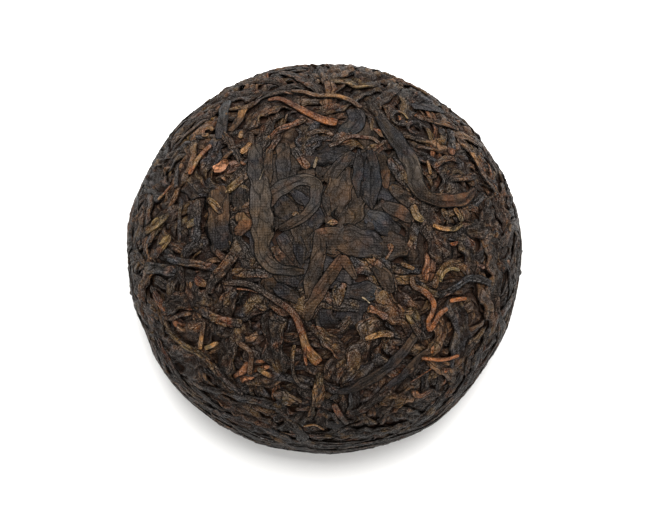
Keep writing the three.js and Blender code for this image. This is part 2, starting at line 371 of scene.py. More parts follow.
class LeafKind(NamedTuple):
    """Sizes of one kind of leaf. Lengths are millimetres, least and greatest."""

    length: tuple
    width: tuple
    plump: float  # thickness before pressing, as a share of the width
    stations: int  # rings of vertices along it
    sides: int  # vertices round each ring
    folds: float  # depth of the folds along it, as a share of its thickness
    grooves: int  # grooves along it
    crumple: float  # height of its crumpling
    bow: float  # greatest turn in radians for each millimetre
    stiffness: float  # length over which it bridges what it lies on
    soft: float  # share of a gap above it that it bulges into
    uneven: float  # share by which its width comes and goes
    taper: float  # 0 has blunt ends, 1 has pointed ends
    dive: float  # depth by which its ends run in under its neighbours
    tones: dict  # how often each tone comes


BED_LEAF = LeafKind(
    (8, 18), (2.4, 4.6), 0.3, 13, 11, 0.3, 3, 0.18, 0.05, 2.0, 0.9, 0.22, 0.7, 0.5,
    {"charcoal": 4, "umber": 5, "brown": 3},
)
ROLLED_LEAF = LeafKind(
    (9, 24), (1.6, 3.3), 0.38, 21, 17, 0.4, 3, 0.12, 0.08, 2.6, 0.6, 0.2, 0.7, 1.2,
    {"charcoal": 8, "umber": 10, "brown": 10, "russet": 1},
)
CRUMPLED_LEAF = LeafKind(
    (8, 18), (3.0, 5.6), 0.28, 19, 19, 0.45, 4, 0.25, 0.09, 1.6, 0.8, 0.3, 0.6, 1.0,
    {"charcoal": 7, "umber": 9, "brown": 11, "olive": 1},
)
THIN_LEAF = LeafKind(
    (7, 18), (0.8, 1.5), 0.5, 21, 9, 0.3, 1, 0.06, 0.14, 2.0, 0.45, 0.25, 0.7, 1.0,
    {"charcoal": 7, "umber": 9, "brown": 10, "russet": 2, "ochre": 1},
)
BELT_LEAF = LeafKind(
    (16, 36), (1.1, 2.6), 0.36, 33, 11, 0.4, 3, 0.08, 0.02, 3.0, 0.75, 0.18, 0.8, 0.9,
    {"charcoal": 3, "umber": 10, "brown": 13, "russet": 3, "ochre": 1},
)
BLADE = LeafKind(
    (9, 20), (3.4, 6.6), 0.1, 21, 19, 0.45, 4, 0.07, 0.04, 1.2, 0.8, 0.3, 0.6, 0.6,
    {"charcoal": 7, "umber": 7, "brown": 2},
)
PRESSED_BLADE = BLADE._replace(folds=0.3, crumple=0.04)
CHIP_BLADE = BLADE._replace(uneven=0.8)
BELT_BLADE = BLADE._replace(
    length=(6, 15), width=(2.4, 4.4), plump=0.16, tones={"charcoal": 4, "umber": 7, "brown": 7}
)
STEM = LeafKind(
    (7, 18), (0.8, 1.4), 0.7, 25, 11, 0.12, 1, 0.04, 0.05, 5.0, 0.0, 0.12, 0.5, 0.8,
    {"russet": 1, "brown": 6, "umber": 6},
)
BUD = LeafKind(
    (4, 9), (1.2, 2.2), 0.4, 13, 11, 0.35, 3, 0.12, 0.06, 2.5, 0.3, 0.2, 0.8, 0.6,
    {"olive": 2, "ochre": 1, "brown": 6},
)
CRUMB = LeafKind(
    (2.0, 6.0), (0.8, 2.2), 0.34, 9, 9, 0.4, 2, 0.14, 0.2, 1.0, 0.75, 0.35, 0.5, 0.5,
    {"charcoal": 6, "umber": 9, "brown": 9, "russet": 1, "olive": 1},
)
CHIP = CRUMB._replace(plump=0.2, uneven=1.2, taper=1.0, folds=0.25, soft=0.0)


class Route(NamedTuple):
    """A leaf that shows clearly: its tones and widths along it, and its way in plan."""

    tones: list
    widths: list
    plan: list


def read_routes(table):
    """Routes from lines of text: tones, widths, and places as x,y, with bars between."""
    rows = (line.split("|") for line in table.strip().splitlines())
    return [
        Route(
            tones.split(),
            [float(width) for width in widths.split()],
            [[float(value) for value in place.split(",")] for place in plan.split()],
        )
        for tones, widths, plan in rows
    ]


# Laid one by one: x to the right and y away from the camera, in millimetres. In each table the
# topmost leaf comes first.
STEM_ROUTES = read_routes("""
russet russet tan tan | 1.1 1.4 1.6 1.9 2.3 | -11.3,26.7 -9.9,27 -8.2,26.5 -6.4,25.2 -4.2,23.6 \
    -1.8,22.1 0.2,21.2 2.6,20.6
russet tan | 0.7 0.8 | -3.6,-24.6 -3.7,-26.2 -3.4,-27.8
umber umber brown russet ochre tan | 1.3 1.4 1.5 1.7 2.6 | -19.5,-12 -15,-12.5 -10,-15.4 -5.7,-18.7 \
    -4.3,-22 -3.3,-25 -1,-27.5
tan russet | 0.5 0.4 | -17,-13.3 -15,-13.6 -12.9,-14.3
brown russet tan russet | 1.4 1.3 | 17.1,-11 17.5,-12.7 19.1,-13.4 20.8,-14.6 21.5,-16 21.2,-17.6 \
    20.5,-19 20.8,-20.6 21.6,-19.5 22.7,-17.6 24.2,-16.3
tan | 1 1 | 24.7,-14.9 26.4,-14.4 28.1,-14
tan | 0.9 0.9 | 19.2,-25.8 21.6,-25.8 24,-25.5 26.8,-24.4
russet ochre tan | 1.2 1.3 | -22.6,17 -24.8,14.8 -27,11.2
brown ochre | 1.1 1.2 | -23.4,-18.9 -24,-21.3 -24.4,-23.6
olive ochre | 1.1 1 | -23.3,-23.6 -22,-23.3 -20.8,-22.9
olive ochre brown | 1.1 1.3 | -13,-28 -11.6,-28.9 -10.2,-29.6
brown ochre brown | 1.3 1.3 | -6.6,28.8 -4,28.3 -1.9,27.4 2.5,27.2 4.6,26.5 7.5,24.4
brown russet brown | 1 1 | 0.9,15.2 2.4,15.7 4,16.9 5.8,17.5 7.7,17.3 9.8,17 11,16
russet brown | 1.5 1.3 | 1.9,-34.6 3.1,-36.3 4.6,-37.7
brown | 1.2 1.2 | -17,-23 -14.5,-25 -14.5,-29
ochre | 0.7 0.7 | -4,-38 -2,-37.8 0,-38.6
ochre | 0.8 0.8 | 20.5,13 20.8,11.5 21,10
ochre tan | 0.9 0.8 | -33.4,7 -32.2,8.1 -30.9,9.4
""")
CHIP_ROUTES = read_routes("""
pink tan | 0.8 0.8 | 21.5,-23.4 21.3,-24.1 21.2,-24.8
cream | 0.6 0.6 | 7.3,-15.3 8.1,-15.8 8.9,-16.4
ochre russet | 0.8 1.3 0.9 | 0.6,-1 1.6,-0.8 2.7,-0.9
tan russet | 1.3 1 | 12.9,-4.8 12.7,-6.8 12,-8
russet | 1.3 1.2 | 8.5,-17.2 10.3,-18 12.4,-19
ochre | 1.6 1.4 | -14.5,16.5 -15.5,15.4 -16.5,14.3
ochre | 1 1 | -16.4,19.6 -16.4,18.7 -16.5,17.8
russet ochre | 1.2 1.9 1.4 | -25.3,-10.2 -24.3,-11.2 -23.1,-12.3
tan russet | 1 1.2 0.9 | 24.7,-3.9 25.5,-3.6 26.4,-3.3
tan | 0.9 0.8 | 30.5,-7.2 31.1,-7.2 31.8,-7.3
pink tan | 0.8 0.8 | 37,-4.7 37.4,-4.9 37.7,-5.4
olive gold | 0.9 1.3 0.9 | -27,-0.4 -26,0.7 -24.8,1.5
tan russet | 1.3 1.2 | 23.7,-27.4 24.3,-27.2 25,-26.9
russet | 2.2 2 | -22.6,-33.8 -21.7,-34.3 -20.7,-34.8
russet | 1.2 1.1 | -35.8,-15.3 -35,-16.2 -34.2,-17
brown olive | 1.5 1.3 | -13.4,-16.6 -12.3,-17 -11.1,-17.3
cream | 0.2 0.35 | -11.7,10.6 -12.2,9.4 -12.7,8.2
russet | 1 1 | -16.5,12.2 -16,12 -15.4,11.7
tan ochre | 1 1.5 0.9 | 9.7,19.2 10.6,18.5 11.7,17.5
ochre | 0.9 0.8 | -6.1,0.6 -5.5,1.2 -4.8,0.7
""")
THIN_ROUTES = read_routes("""
gold gold ochre charcoal charcoal charcoal charcoal umber ochre gold | 1 0.9 0.8 1 | 16.9,22.5 \
    16.1,23.9 14.5,24 13.6,22.6 14.3,21.1 16,21 16.8,21.9
russet tan | 0.7 0.7 | 14.9,22.9 15.3,22.4 15.1,21.9
charcoal | 0.9 0.9 | 19.6,20.6 19,21.9 17.6,21.8 16.8,20.6 17.6,19.4 19,19.4
ochre tan ochre | 1 1 | -22.4,20.6 -23.1,21.4 -24.2,21 -24.3,19.9 -23.3,19.5
gold | 0.9 0.8 | 22.7,-11.5 23.6,-9.6 25,-8.7 26.7,-8.8
brown | 1.3 1.2 | -3.5,17.8 -1.4,18.5 0.7,18.3 1.8,17.5
charcoal | 1.3 1.2 | -3.5,15.2 -2.3,16.4 -0.6,16.9 1.3,16.6
charcoal | 1 1 | -28.5,6 -28.7,2 -28.5,-3
umber | 0.9 0.9 | -5.7,-24.1 -6.1,-26 -6.1,-28 -5.7,-29.8 -4.7,-31.2 -2.8,-31.8
brown | 0.8 0.8 | 18.3,16 20.7,16 22.7,15.8
umber | 1.2 1.2 | -29.5,13.5 -29.8,11 -29.7,8.8
ochre olive | 1.1 1.1 | 21.4,-0.5 24,-1 26,-0.6 27.3,0.5
russet | 1.4 1.4 | 17.5,-31.6 18.7,-32.2 21,-31.2
ochre brown | 1.3 1.3 | 8,-23 11,-22 13.5,-22
ochre | 1 1 | 15,-8.5 16.3,-9 17.5,-9.5
gold | 0.8 0.7 | -2,10.4 -1.7,11.5 -1.4,12.7
tan | 0.4 0.4 | 21.2,-27.3 19,-28.8 16.9,-30.1
""")
ROLL_ROUTES = read_routes("""
ochre russet russet brown | 1.6 1.1 1.6 1.2 1.5 1.3 | -11.3,16.8 -10.3,17.9 -9.1,19 -7.1,19.8 \
    -4.8,20.9 -3.4,21.7
charcoal slate russet | 1.9 2 | 25.8,21.8 25.9,19.2 25.7,15.6
umber | 1.5 1.5 | -14.6,26 -12.2,27.9 -9.9,28.5 -7.5,28.7 -6.2,28.5
umber olive gold olive umber umber umber umber | 1.6 1.8 | -32.4,-16.5 -31.6,-18.2 -30.1,-20.5 \
    -28,-22.3 -26.1,-23.5 -24.6,-24.5 -23.1,-25.7 -21.6,-27.4 -19.8,-29.3 -18.1,-30.9 -16,-32.3
brown russet umber | 2.1 2.1 | -24.4,-16.4 -22.6,-17.7 -20.5,-18.9 -18.8,-19.4 -16,-19.7
umber charcoal charcoal | 3.6 3.4 | -25.7,5.3 -25.7,2.4 -25.7,-0.3 -25.7,-3.4
brown | 1.7 1.7 | 21.6,-12.8 22.5,-10.4 23.8,-8.4 25.1,-7.6 27.1,-7.9 28.8,-9.1
charcoal charcoal slate charcoal | 1.5 1.5 | 17.3,-11.6 19.6,-13 21,-13.8 22.7,-13.9 24.4,-13.2 \
    26.3,-11.9 28.2,-10.3 30.4,-9.8 34.1,-10.2
slate brown charcoal | 1.7 1.7 | -31.2,-5.5 -28.5,-6.8 -25.4,-7.7 -21,-9
charcoal slate | 2.4 2.4 | -36.3,-6.3 -33.3,-7.2 -29.4,-8.7
brown umber | 2.6 2.4 | -17,-6.1 -19.7,-9.2 -22.2,-12 -22.5,-13.8
brown umber | 2 1.8 | -18,-10 -14,-10.5 -10,-11
gold umber | 2 2.1 | -30.7,-1.3 -32.3,-3 -33.9,-4.7
olive charcoal | 2 2 | -32.6,2 -34.4,0 -36,-2.2
olive umber umber | 2.8 2.4 | 16.3,-17.2 17.2,-18.2 18.2,-20 19.5,-22.5
brown | 1.5 1.5 | 18.8,23.8 22.3,23.2 25,23 27.6,22.8
charcoal | 1.7 1.7 | 30,5 31.3,6.6 32.5,8.3
umber russet | 1.9 1.8 | -6,14.8 -4.4,12.2 -3.1,10.4
olive brown | 2 1.8 | -19.5,6.2 -18,7.2 -15,9.5
umber | 1.5 1.5 | 23.3,3 24,2 24.5,1
ochre gold | 1.5 1.4 | 25.9,3.6 26.7,2.3 27.4,1.1
russet umber | 1.8 1.8 | -34,-20 -31,-25 -29.5,-27.5
umber olive umber | 1.3 1.6 1.2 | 20.9,21.1 21.5,19.5 21.8,17.6
charcoal slate | 1.7 1.8 1.5 | 23.9,21.8 24.2,19.8 24.3,17.8
charcoal umber brown charcoal | 1.4 1.6 1.5 1.3 | 21.6,11.8 23.3,13.4 24.8,14.4 26.5,14.5 27.9,14.1
umber brown umber | 1.4 1.7 1.6 | 24.4,8.9 26.1,10.1 27.8,10.6 31,11.9
brown ochre brown umber | 2.2 2.6 2.4 2 | 27.2,19.9 30.3,17.1 33,12.1 35.6,9.4
""")
BUD_ROUTES = read_routes("""
olive gold | 1.9 1.7 | 17.5,3.3 18.3,1 19.6,0.3
olive ochre brown | 1.3 1.8 1.4 | -22.9,5.2 -21.4,3.6 -20,1.8
olive gold olive | 1.8 2.4 1.8 | -36.1,0.9 -33.7,2.1 -31.1,3.1
""")
CRUMPLED_ROUTES = read_routes("""
brown olive ochre brown | 1.6 3.4 3 1.8 | -10,-32.6 -7.4,-33.4 -4.4,-34.2
charcoal umber | 2.4 3.4 2.4 | 13.2,13 14.6,10.2 16,7.4
charcoal umber | 2.4 2.6 2 | 3.4,-12.6 2.9,-14.6 2.4,-17
olive ochre brown | 1.6 3 2 | -0.8,-29.2 -1,-32 -1.6,-35
""")
CHIP_BLADE_ROUTES = read_routes("""
pink pink tan | 2.6 3 2.8 2.4 | -21.8,11 -20.5,11.6 -18.9,12.6
ochre tan russet | 2.4 3.2 3.2 2.6 | -16.2,1.6 -16.1,-0.7 -16.5,-3
""")
BLADE_ROUTES = read_routes("""
russet brown umber | 2 2 1.4 | 3.3,-7.6 5,-9.8 6.2,-11.9
russet brown russet brown umber | 2.2 2.7 2.9 2.6 | 3.6,-7.4 1.9,-10.3 0.3,-12.5 -1.4,-15.3 -3,-17.7 \
    -3.9,-19.6
charcoal charcoal slate taupe umber umber brown russet brown umber | 2.8 3.3 3.9 4.2 3.7 3.3 3.1 2.7 \
    2.1 | 10.8,22.6 13,19.2 15.6,15.4 17.4,11.7 18,8 19.8,5.6 23.9,4.9 28,6 30.6,8.6
umber charcoal umber charcoal | 1.6 2.3 2.5 2.3 1.4 | 19,-20.4 16.6,-23.5 14.4,-26.1 11.9,-28.4 \
    9,-30.2 5.5,-32 2.6,-32.6
charcoal slate slate charcoal | 2.4 3.2 3.8 4.4 1.2 | 9.3,14.6 9.4,11.5 9.3,8 9.1,5 9.3,2
charcoal slate charcoal | 0.8 2.4 2.2 0.6 | 6.9,14.6 6.8,11.2 6.6,8 6.7,4.2
charcoal umber | 2.2 2.8 2.4 | 5.4,13.8 2.9,10.6 0.2,7.6
brown umber | 1.7 1.9 1.8 | -10.9,15 -10.9,11 -11.1,7.2
umber charcoal umber | 3 3.2 2.6 | -8.1,16 -8,11.5 -7.8,7.4
taupe charcoal taupe taupe fawn fawn taupe umber | 3.2 3.5 4.3 4.8 4.6 3.6 2.4 2 | -13.6,16.2 \
    -13.4,11 -12.6,6 -12.1,1 -12,-3.2 -11.9,-6.4 -10.2,-9.2 -7.1,-10.3 -3.8,-10.5
umber taupe taupe taupe brown umber | 3.6 3.4 2.8 2.6 2.6 2.2 1.8 | -12.4,2.8 -10.4,4.6 -7.6,6.6 \
    -5.2,7.8 -3,8 -1.6,6.9 -1.7,5 -1.9,3 -3,1.2 -4.6,0 -6.6,-1.2 -8.8,-1.9
russet brown | 1.6 1.6 | -1.8,-3 0.8,-2.4 3.3,-2.5
brown umber brown | 2.4 3 3.4 3 1.6 | -0.8,-2.4 -0.9,-5.6 -1.4,-8.8 -2.3,-12 -3.2,-15.8
brown umber umber charcoal umber | 5.4 6.6 6.6 4.6 | 2.4,-4.6 5.6,-4.4 8.6,-5.2 11.6,-6.4
umber | 1.4 1.6 1.2 | 0.2,6.6 0.4,3.8 1,0.6
umber brown umber | 3.6 5.2 5.4 4 | 4.4,10.8 3.2,7.6 2.6,4.4 2.2,1.2
slate charcoal | 4 4.4 3.4 | 8.2,0.6 11.4,-0.8 14.6,-2.6
umber russet umber | 2.6 3.2 2.6 | 11.6,3.2 14.3,1.8 17.2,0.2
umber russet | 2.2 2.6 1.6 | 11.4,13.6 11.8,10.4 12.2,6.4
brown umber | 2.6 3.2 2.8 | 13,7 15,5.4 17.2,3.4
charcoal | 2 2.2 | 10.4,2.6 11,1.6 11.6,0.6
charcoal slate | 3.6 4.4 3.6 | 5,-14.2 8,-14.2 11.2,-14.4
brown umber | 2.4 3.2 2.4 | 9.8,-9.4 11.6,-11.2 13,-14.4
charcoal | 2.2 2.6 1.4 | -5.2,-3.6 -4.8,-6.2 -4.2,-9
charcoal umber | 2.6 3 2.4 | -8.6,-3.2 -7.4,-5 -6.4,-7.2
russet umber | 1.8 2.2 1.8 | -9.4,-5.8 -8.4,-7.6 -6,-9.6
umber charcoal | 3 3.2 2.8 | -9.6,-9.8 -7.4,-11.4 -4.8,-12.6
charcoal umber | 2.8 3 2.8 | -9.4,-13 -7,-14.6 -5,-16
umber charcoal | 2.4 2.6 2.4 | -17.2,-11 -14.8,-11.2 -12.4,-11.2
charcoal | 2 2.4 | -6.2,5.6 -4.8,4.4 -3.4,3.2
charcoal umber charcoal | 3.4 5 4 | -9.2,4.6 -7.6,2.2 -6.4,-0.2
charcoal umber | 3 3.4 3 | -16.6,8 -16.7,5 -16.5,2.2
charcoal slate | 4 3.4 | 5.7,24 6.6,21.3 3.6,17.7
brown brown umber charcoal umber | 5.2 5.6 5 5.6 5.4 | -21.4,7.4 -20.8,3.6 -21,-0.2 -20,-5.8
charcoal | 2.8 2.8 | 18,26.5 21,27 24.6,27
slate charcoal | 2.6 2.5 | -20,28.5 -20.6,23 -20.8,18.5
charcoal | 2.3 2.2 | 0.4,-37.9 2.3,-38 4.3,-37.8
ochre brown | 2.2 2 | -16,26 -17.3,22.5 -19,20
umber charcoal | 1.6 2.2 1.7 | 21,-24.2 18.6,-26 16,-28.6 12.6,-31.4
""")


def ripple(rng, count, share, cycles):
    """Smooth random waves along leaves, about -1 to 1, with about so many cycles in each."""
    shape = (count, 3, 1)
    rates = np.broadcast_to(cycles, count)[:, None, None] * np.array([0.6, 1.0, 1.7])[:, None]
    rates = rates * rng.uniform(0.8, 1.25, shape)
    phases = rng.uniform(0, 2 * math.pi, shape)
    return np.sin(2 * math.pi * rates * share + phases).sum(axis=1) / 1.7


class Leaves:
    """Leaves of one kind on one face: their middle lines on its map, and their sizes along them."""

    def __init__(self, rng, face, kind, lines, widths, tones, dive=0.0, spread=0.46, lift=0.0):
        count, stations = lines.shape[:2]
        share = np.linspace(0, 1, stations)
        self.face, self.kind, self.lines = face, kind, lines
        self.side = face.sideways(lines)
        steps = np.linalg.norm(np.diff(lines, axis=1), axis=-1)
        self.along = np.concatenate([np.zeros((count, 1)), steps.cumsum(axis=1)], axis=1)
        length = self.along[:, -1]
        rounded = np.clip(0.5 * widths.max(axis=1) / length, 0.06, 0.45)[:, None]
        rounded = rounded * rng.uniform(0.6, 1.4, (2, count, 1))
        blunt = np.minimum(1, share / rounded[0]) * np.minimum(1, (1 - share) / rounded[1])
        blunt = 1 - kind.taper * (1 - np.sqrt(blunt))
        from_end = np.minimum(self.along, length[:, None] - self.along)
        self.half_width = widths / 2 * blunt
        self.rims = [1 + kind.uneven * ripple(rng, count, share, length / 7) for _ in range(2)]
        swelling = 1 + kind.uneven * ripple(rng, count, share, length / 4)
        self.thickness = kind.plump * widths * blunt * swelling
        self.tones = tones
        self.spread, self.lift = spread, lift
        self.dip = dive * (1 - smooth_step(from_end, 0, 3.0))
        self.roof = np.zeros((count, stations))
        self.bulge = np.zeros((count, stations, face.LANES))
        self.numbers = face.laid + np.arange(count)
        face.laid += count

    def tuck(self):
        """Tucks the leaves in under those already there, one by one."""
        for i in range(len(self.lines)):
            self.roof[i], self.bulge[i] = self.face.tuck(
                self.numbers[i], self.lines[i], self.side[i], self.half_width[i],
                self.thickness[i], self.dip[i], self.kind,
            )
        return self

    def drop_hidden(self, shown_cells, least):
        """Forgets the leaves that show in fewer cells than the least."""
        keep = shown_cells[self.numbers] >= least
        self.rims = [rim[keep] for rim in self.rims]
        for name in ("lines", "side", "along", "half_width", "thickness", "tones", "roof", "bulge",
                     "numbers"):
            setattr(self, name, getattr(self, name)[keep])

    def bulge_at(self, across):
        """How far the leaves bulge at places across them from -1 to 1."""
        wide = np.array([0.25, 0.5, 0.25])
        padded = np.pad(self.bulge, ((0, 0), (1, 1), (1, 1)), "edge")
        smooth = sum(w * padded[:, i : i + self.bulge.shape[1], 1:-1] for i, w in enumerate(wide))
        padded = np.pad(smooth, ((0, 0), (0, 0), (1, 1)), "edge")
        smooth = sum(w * padded[:, :, i : i + self.bulge.shape[2]] for i, w in enumerate(wide))
        at = np.clip((across + 1) / 2, 0, 1) * (self.face.LANES - 1)
        low = np.minimum(at.astype(int), self.face.LANES - 2)
        near, far = (np.take_along_axis(smooth, low + i, axis=2) for i in (0, 1))
        return near + (far - near) * (at - low)


# How leaves are scattered.
TRIED = 6  # places tried for each leaf, of which those with the least over them are taken
HEADING = 0.6  # spread of the headings in radians, and of those that lie round the nest
HEADING_ROUND = 0.26
MARGIN = 1.2  # the leaves keep this far from the edge of a face
STOPS = 6  # places along a leaf that can have their own tone, and along one with a route
ROUTED_STOPS = 8
ROUTED_UNEVEN = 0.4  # share of a kind's unevenness and of its taper that a leaf with a route has
ROUTED_TAPER = 0.6


def even_places(rng, face, count, low, high):
    """Places spread evenly by area between two distances from the apex."""
    inside = (face.reach >= low) & (face.reach <= high)
    area = np.cumsum(np.where(inside, face.radius, 0))
    wanted = (np.arange(count) + rng.random(count)) / count * area[-1]
    reach = np.interp(wanted, area, face.reach)
    bearing = np.arange(count) * GOLDEN_TURN + rng.normal(0, 0.12, count)
    return np.column_stack([reach * np.cos(bearing), reach * np.sin(bearing)])


def walk(face, middle, heading, length, bow, stations):
    """Lines over the map from their middles, of a true length, that turn round the sides."""
    half = stations // 2
    step = length / (stations - 1)
    lines = np.empty((len(middle), stations, 2))
    lines[:, half] = middle
    for way in (1, -1):
        place, turn = middle.copy(), heading.copy()
        for k in range(1, half + 1):
            ahead = np.column_stack([np.cos(turn), np.sin(turn)])
            out = place / np.maximum(np.linalg.norm(place, axis=1, keepdims=True), 1e-6)
            outwards = (ahead * out).sum(1)
            round_it = (out[:, 0] * ahead[:, 1] - out[:, 1] * ahead[:, 0]) * face.stretch(place)
            place = place + way * ahead * (step / np.hypot(outwards, round_it))[:, None]
            reach = np.linalg.norm(place, axis=1)
            place *= np.minimum(1, (face.end - MARGIN) / reach)[:, None]
            lines[:, half + way * k] = place
            pull = 0.2 * smooth_step(reach, 0.55 * face.end, 0.75 * face.end)
            bearing = np.arctan2(place[:, 1], place[:, 0]) + math.pi / 2
            off = (bearing - turn + math.pi / 2) % math.pi - math.pi / 2
            turn = turn + way * bow[:, half + way * k] * step + pull * off
    return lines


def tone_pairs(rng, kind, count):
    """Tones along leaves, by how often the kind has them. Half of the leaves change tone."""
    names = list(kind.tones)
    odds = np.array([kind.tones[n] for n in names], float)
    first = rng.choice([TONES.index(n) for n in names], count, p=odds / odds.sum())
    other = rng.choice([TONES.index(n) for n in names], count, p=odds / odds.sum())
    tones = np.repeat(first[:, None], STOPS, axis=1)
    after = np.arange(STOPS) >= rng.integers(0, STOPS, (count, 1))
    changed = after & (rng.random((count, 1)) < 0.5)
    return np.where(changed, other[:, None], tones)


def scattered(rng, face, kind, count, low, high, round_it=False):
    """Leaves of a kind between two distances from the apex, each at its own random heading."""
    middle = rng.permutation(even_places(rng, face, TRIED * count, low, high))
    order = np.argsort(face.filled[face.cells(middle)] + rng.uniform(0, 0.3, len(middle)))
    middle = middle[rng.permutation(order[:count])]
    stations = kind.stations
    share = np.linspace(0, 1, stations)
    length = rng.uniform(*kind.length, count)
    bearing = np.arctan2(middle[:, 1], middle[:, 0])
    flow = 1.6 * np.sin(middle @ (0.13, 0.07) + 1) + 1.6 * np.sin(middle @ (-0.06, 0.15))
    heading = np.where(round_it, bearing + math.pi / 2, flow)
    heading = heading + rng.normal(0, HEADING_ROUND if round_it else HEADING, count)
    bow = rng.uniform(-kind.bow, kind.bow, (count, 1))
    bow = bow + 1.5 * kind.bow * ripple(rng, count, share, length / 9)
    reach = np.linalg.norm(middle, axis=1, keepdims=True)
    bow = bow * (1 - 0.75 * smooth_step(reach, 0.5 * face.end, 0.7 * face.end))
    lines = walk(face, middle, heading, length, bow, stations)
    widths = rng.uniform(*kind.width, (count, 1)) * np.ones(stations)
    return Leaves(rng, face, kind, lines, widths, tone_pairs(rng, kind, count), kind.dive)


def spline(points, count):
    """A smooth line through points, at evenly spaced places."""
    points = np.asarray(points, float)
    gaps = np.linalg.norm(np.diff(points, axis=0), axis=1)
    at = np.concatenate([[0], np.cumsum(gaps)])
    slopes = np.gradient(points, at, axis=0)
    fine = np.linspace(0, at[-1], count)
    i = np.clip(np.searchsorted(at, fine, "right") - 1, 0, len(points) - 2)
    gap = (at[i + 1] - at[i])[:, None]
    t = ((fine - at[i])[:, None]) / gap
    return (
        points[i] * (1 + 2 * t) * (1 - t) ** 2
        + slopes[i] * gap * t * (1 - t) ** 2
        + points[i + 1] * t * t * (3 - 2 * t)
        + slopes[i + 1] * gap * t * t * (t - 1)
    )


def routed(rng, face, kind, routes, dive, lift, spread):
    """The leaves that show clearly, on their own routes."""
    stations = 2 * kind.stations + 1
    lines = np.array([spline(face.place_over(route.plan), stations) for route in routes])
    share = np.linspace(0, 1, stations)
    widths = np.array([
        np.interp(share, np.linspace(0, 1, len(route.widths)), route.widths) for route in routes
    ])
    tones = np.array([
        [TONES.index(names[i * len(names) // ROUTED_STOPS]) for i in range(ROUTED_STOPS)]
        for names in (route.tones for route in routes)
    ])
    kind = kind._replace(
        uneven=ROUTED_UNEVEN * kind.uneven, taper=ROUTED_TAPER * kind.taper
    )
    return Leaves(rng, face, kind, lines, widths, tones, dive, spread, lift)


class Heap:
    """All the leaves of the nest, by piece, laid in order on its two faces and pressed."""

    LEAST_SHOWN = 4  # cells of the map that a leaf has to show in, or it is left out
    SIDE = 0.66  # where the sides begin, as a share of the way from the crown to the foot ring

    def __init__(self, sizes):
        self.rng = np.random.default_rng(sizes.seed)
        self.pieces = {}
        dome = Face(dome_section(sizes), 1, sizes.crown_patch / MM)
        hollow = Face(hollow_section(sizes), -1, NO_CROWN)
        self.lay_routes(dome)
        self.lay_dome(dome)
        self.lay_hollow(hollow)
        for face in (dome, hollow):
            face.level_off()
            shown = np.bincount(face.topmost[face.topmost >= 0], minlength=face.laid)
            for leaves in sum(self.pieces.values(), []):
                if leaves.face is face:
                    leaves.drop_hidden(shown, self.LEAST_SHOWN)

    def add(self, piece, leaves):
        """Tucks leaves in under those already there, as part of a piece."""
        self.pieces.setdefault(piece, []).append(leaves.tuck())

    def lay_routes(self, dome):
        """Lays the leaves that show clearly: kind, routes, dive, lift and spread of lightness."""
        for piece, kind, routes, dive, lift, spread in (
            ("leaf_crumbs", CHIP, CHIP_ROUTES, 0.0, 0.25, 0.1),
            ("blades", CHIP_BLADE, CHIP_BLADE_ROUTES, 0.0, 0.25, 0.1),
            ("stems", STEM, STEM_ROUTES, 0.0, 0.25, 0.1),
            ("thin_leaves", THIN_LEAF, THIN_ROUTES, 0.0, 0.25, 0.1),
            ("bud_tips", BUD, BUD_ROUTES, 0.0, 0.25, 0.1),
            ("rolled_leaves", ROLLED_LEAF, ROLL_ROUTES, 0.6, 0.25, 0.1),
            ("crumpled_leaves", CRUMPLED_LEAF, CRUMPLED_ROUTES, 0.3, 0.25, 0.1),
            ("blades", PRESSED_BLADE, BLADE_ROUTES, 0.8, 0.12, 0.12),
        ):
            self.add(piece, routed(self.rng, dome, kind, routes, dive, lift, spread))

    def lay_dome(self, dome):
        """Lays the others: kind, count, and least and greatest distance from the apex.

        Those that keep to the sides lie round the nest.
        """
        end = dome.end
        side = self.SIDE * end
        for piece, kind, count, low, high in (
            ("crumpled_leaves", CRUMPLED_LEAF, 70, 17, 0.7 * end),
            ("rolled_leaves", ROLLED_LEAF, 65, 16, 0.7 * end),
            ("blades", BLADE, 24, 0, 20),
            ("thin_leaves", THIN_LEAF, 20, 18, 0.9 * end),
            ("blades", BELT_BLADE, 36, side, end),
            ("belt_leaves", BELT_LEAF, 90, side, end),
            ("crumpled_leaves", CRUMPLED_LEAF, 70, 14, 0.85 * end),
            ("stems", STEM, 16, 18, 0.85 * end),
            ("bud_tips", BUD, 30, 17, 0.9 * end),
            ("rolled_leaves", ROLLED_LEAF, 110, 10, 0.85 * end),
            ("blades", BLADE, 30, 0, 20),
            ("belt_leaves", BELT_LEAF, 90, side, end),
            ("blades", BELT_BLADE, 50, side, end),
            ("thin_leaves", THIN_LEAF, 60, 16, 0.9 * end),
            ("leaf_crumbs", CRUMB, 300, 16, end),
            ("leaf_crumbs", CRUMB, 250, side, end),
            ("thin_leaves", THIN_LEAF, 60, side, end),
            ("thin_leaves", THIN_LEAF, 60, 8, end),
            ("crumpled_leaves", CRUMPLED_LEAF, 90, 5, end),
            ("leaf_crumbs", CRUMB, 300, 5, end),
            ("bed_leaves", BED_LEAF, 180, 0, end),
            ("bed_leaves", BED_LEAF, 180, 0, end),
            ("bed_leaves", BED_LEAF, 180, 0, end),
        ):
            self.add(piece, scattered(self.rng, dome, kind, count, low, high, low == side))

    def lay_hollow(self, hollow):
        """Lines the hollow: kind and count."""
        for kind, count in (
            (BED_LEAF, 70), (THIN_LEAF, 80), (BED_LEAF, 70), (CRUMB, 150), (BED_LEAF, 120),
            (BED_LEAF, 120),
        ):
            self.add("hollow_leaves", scattered(self.rng, hollow, kind, count, 0, hollow.end))


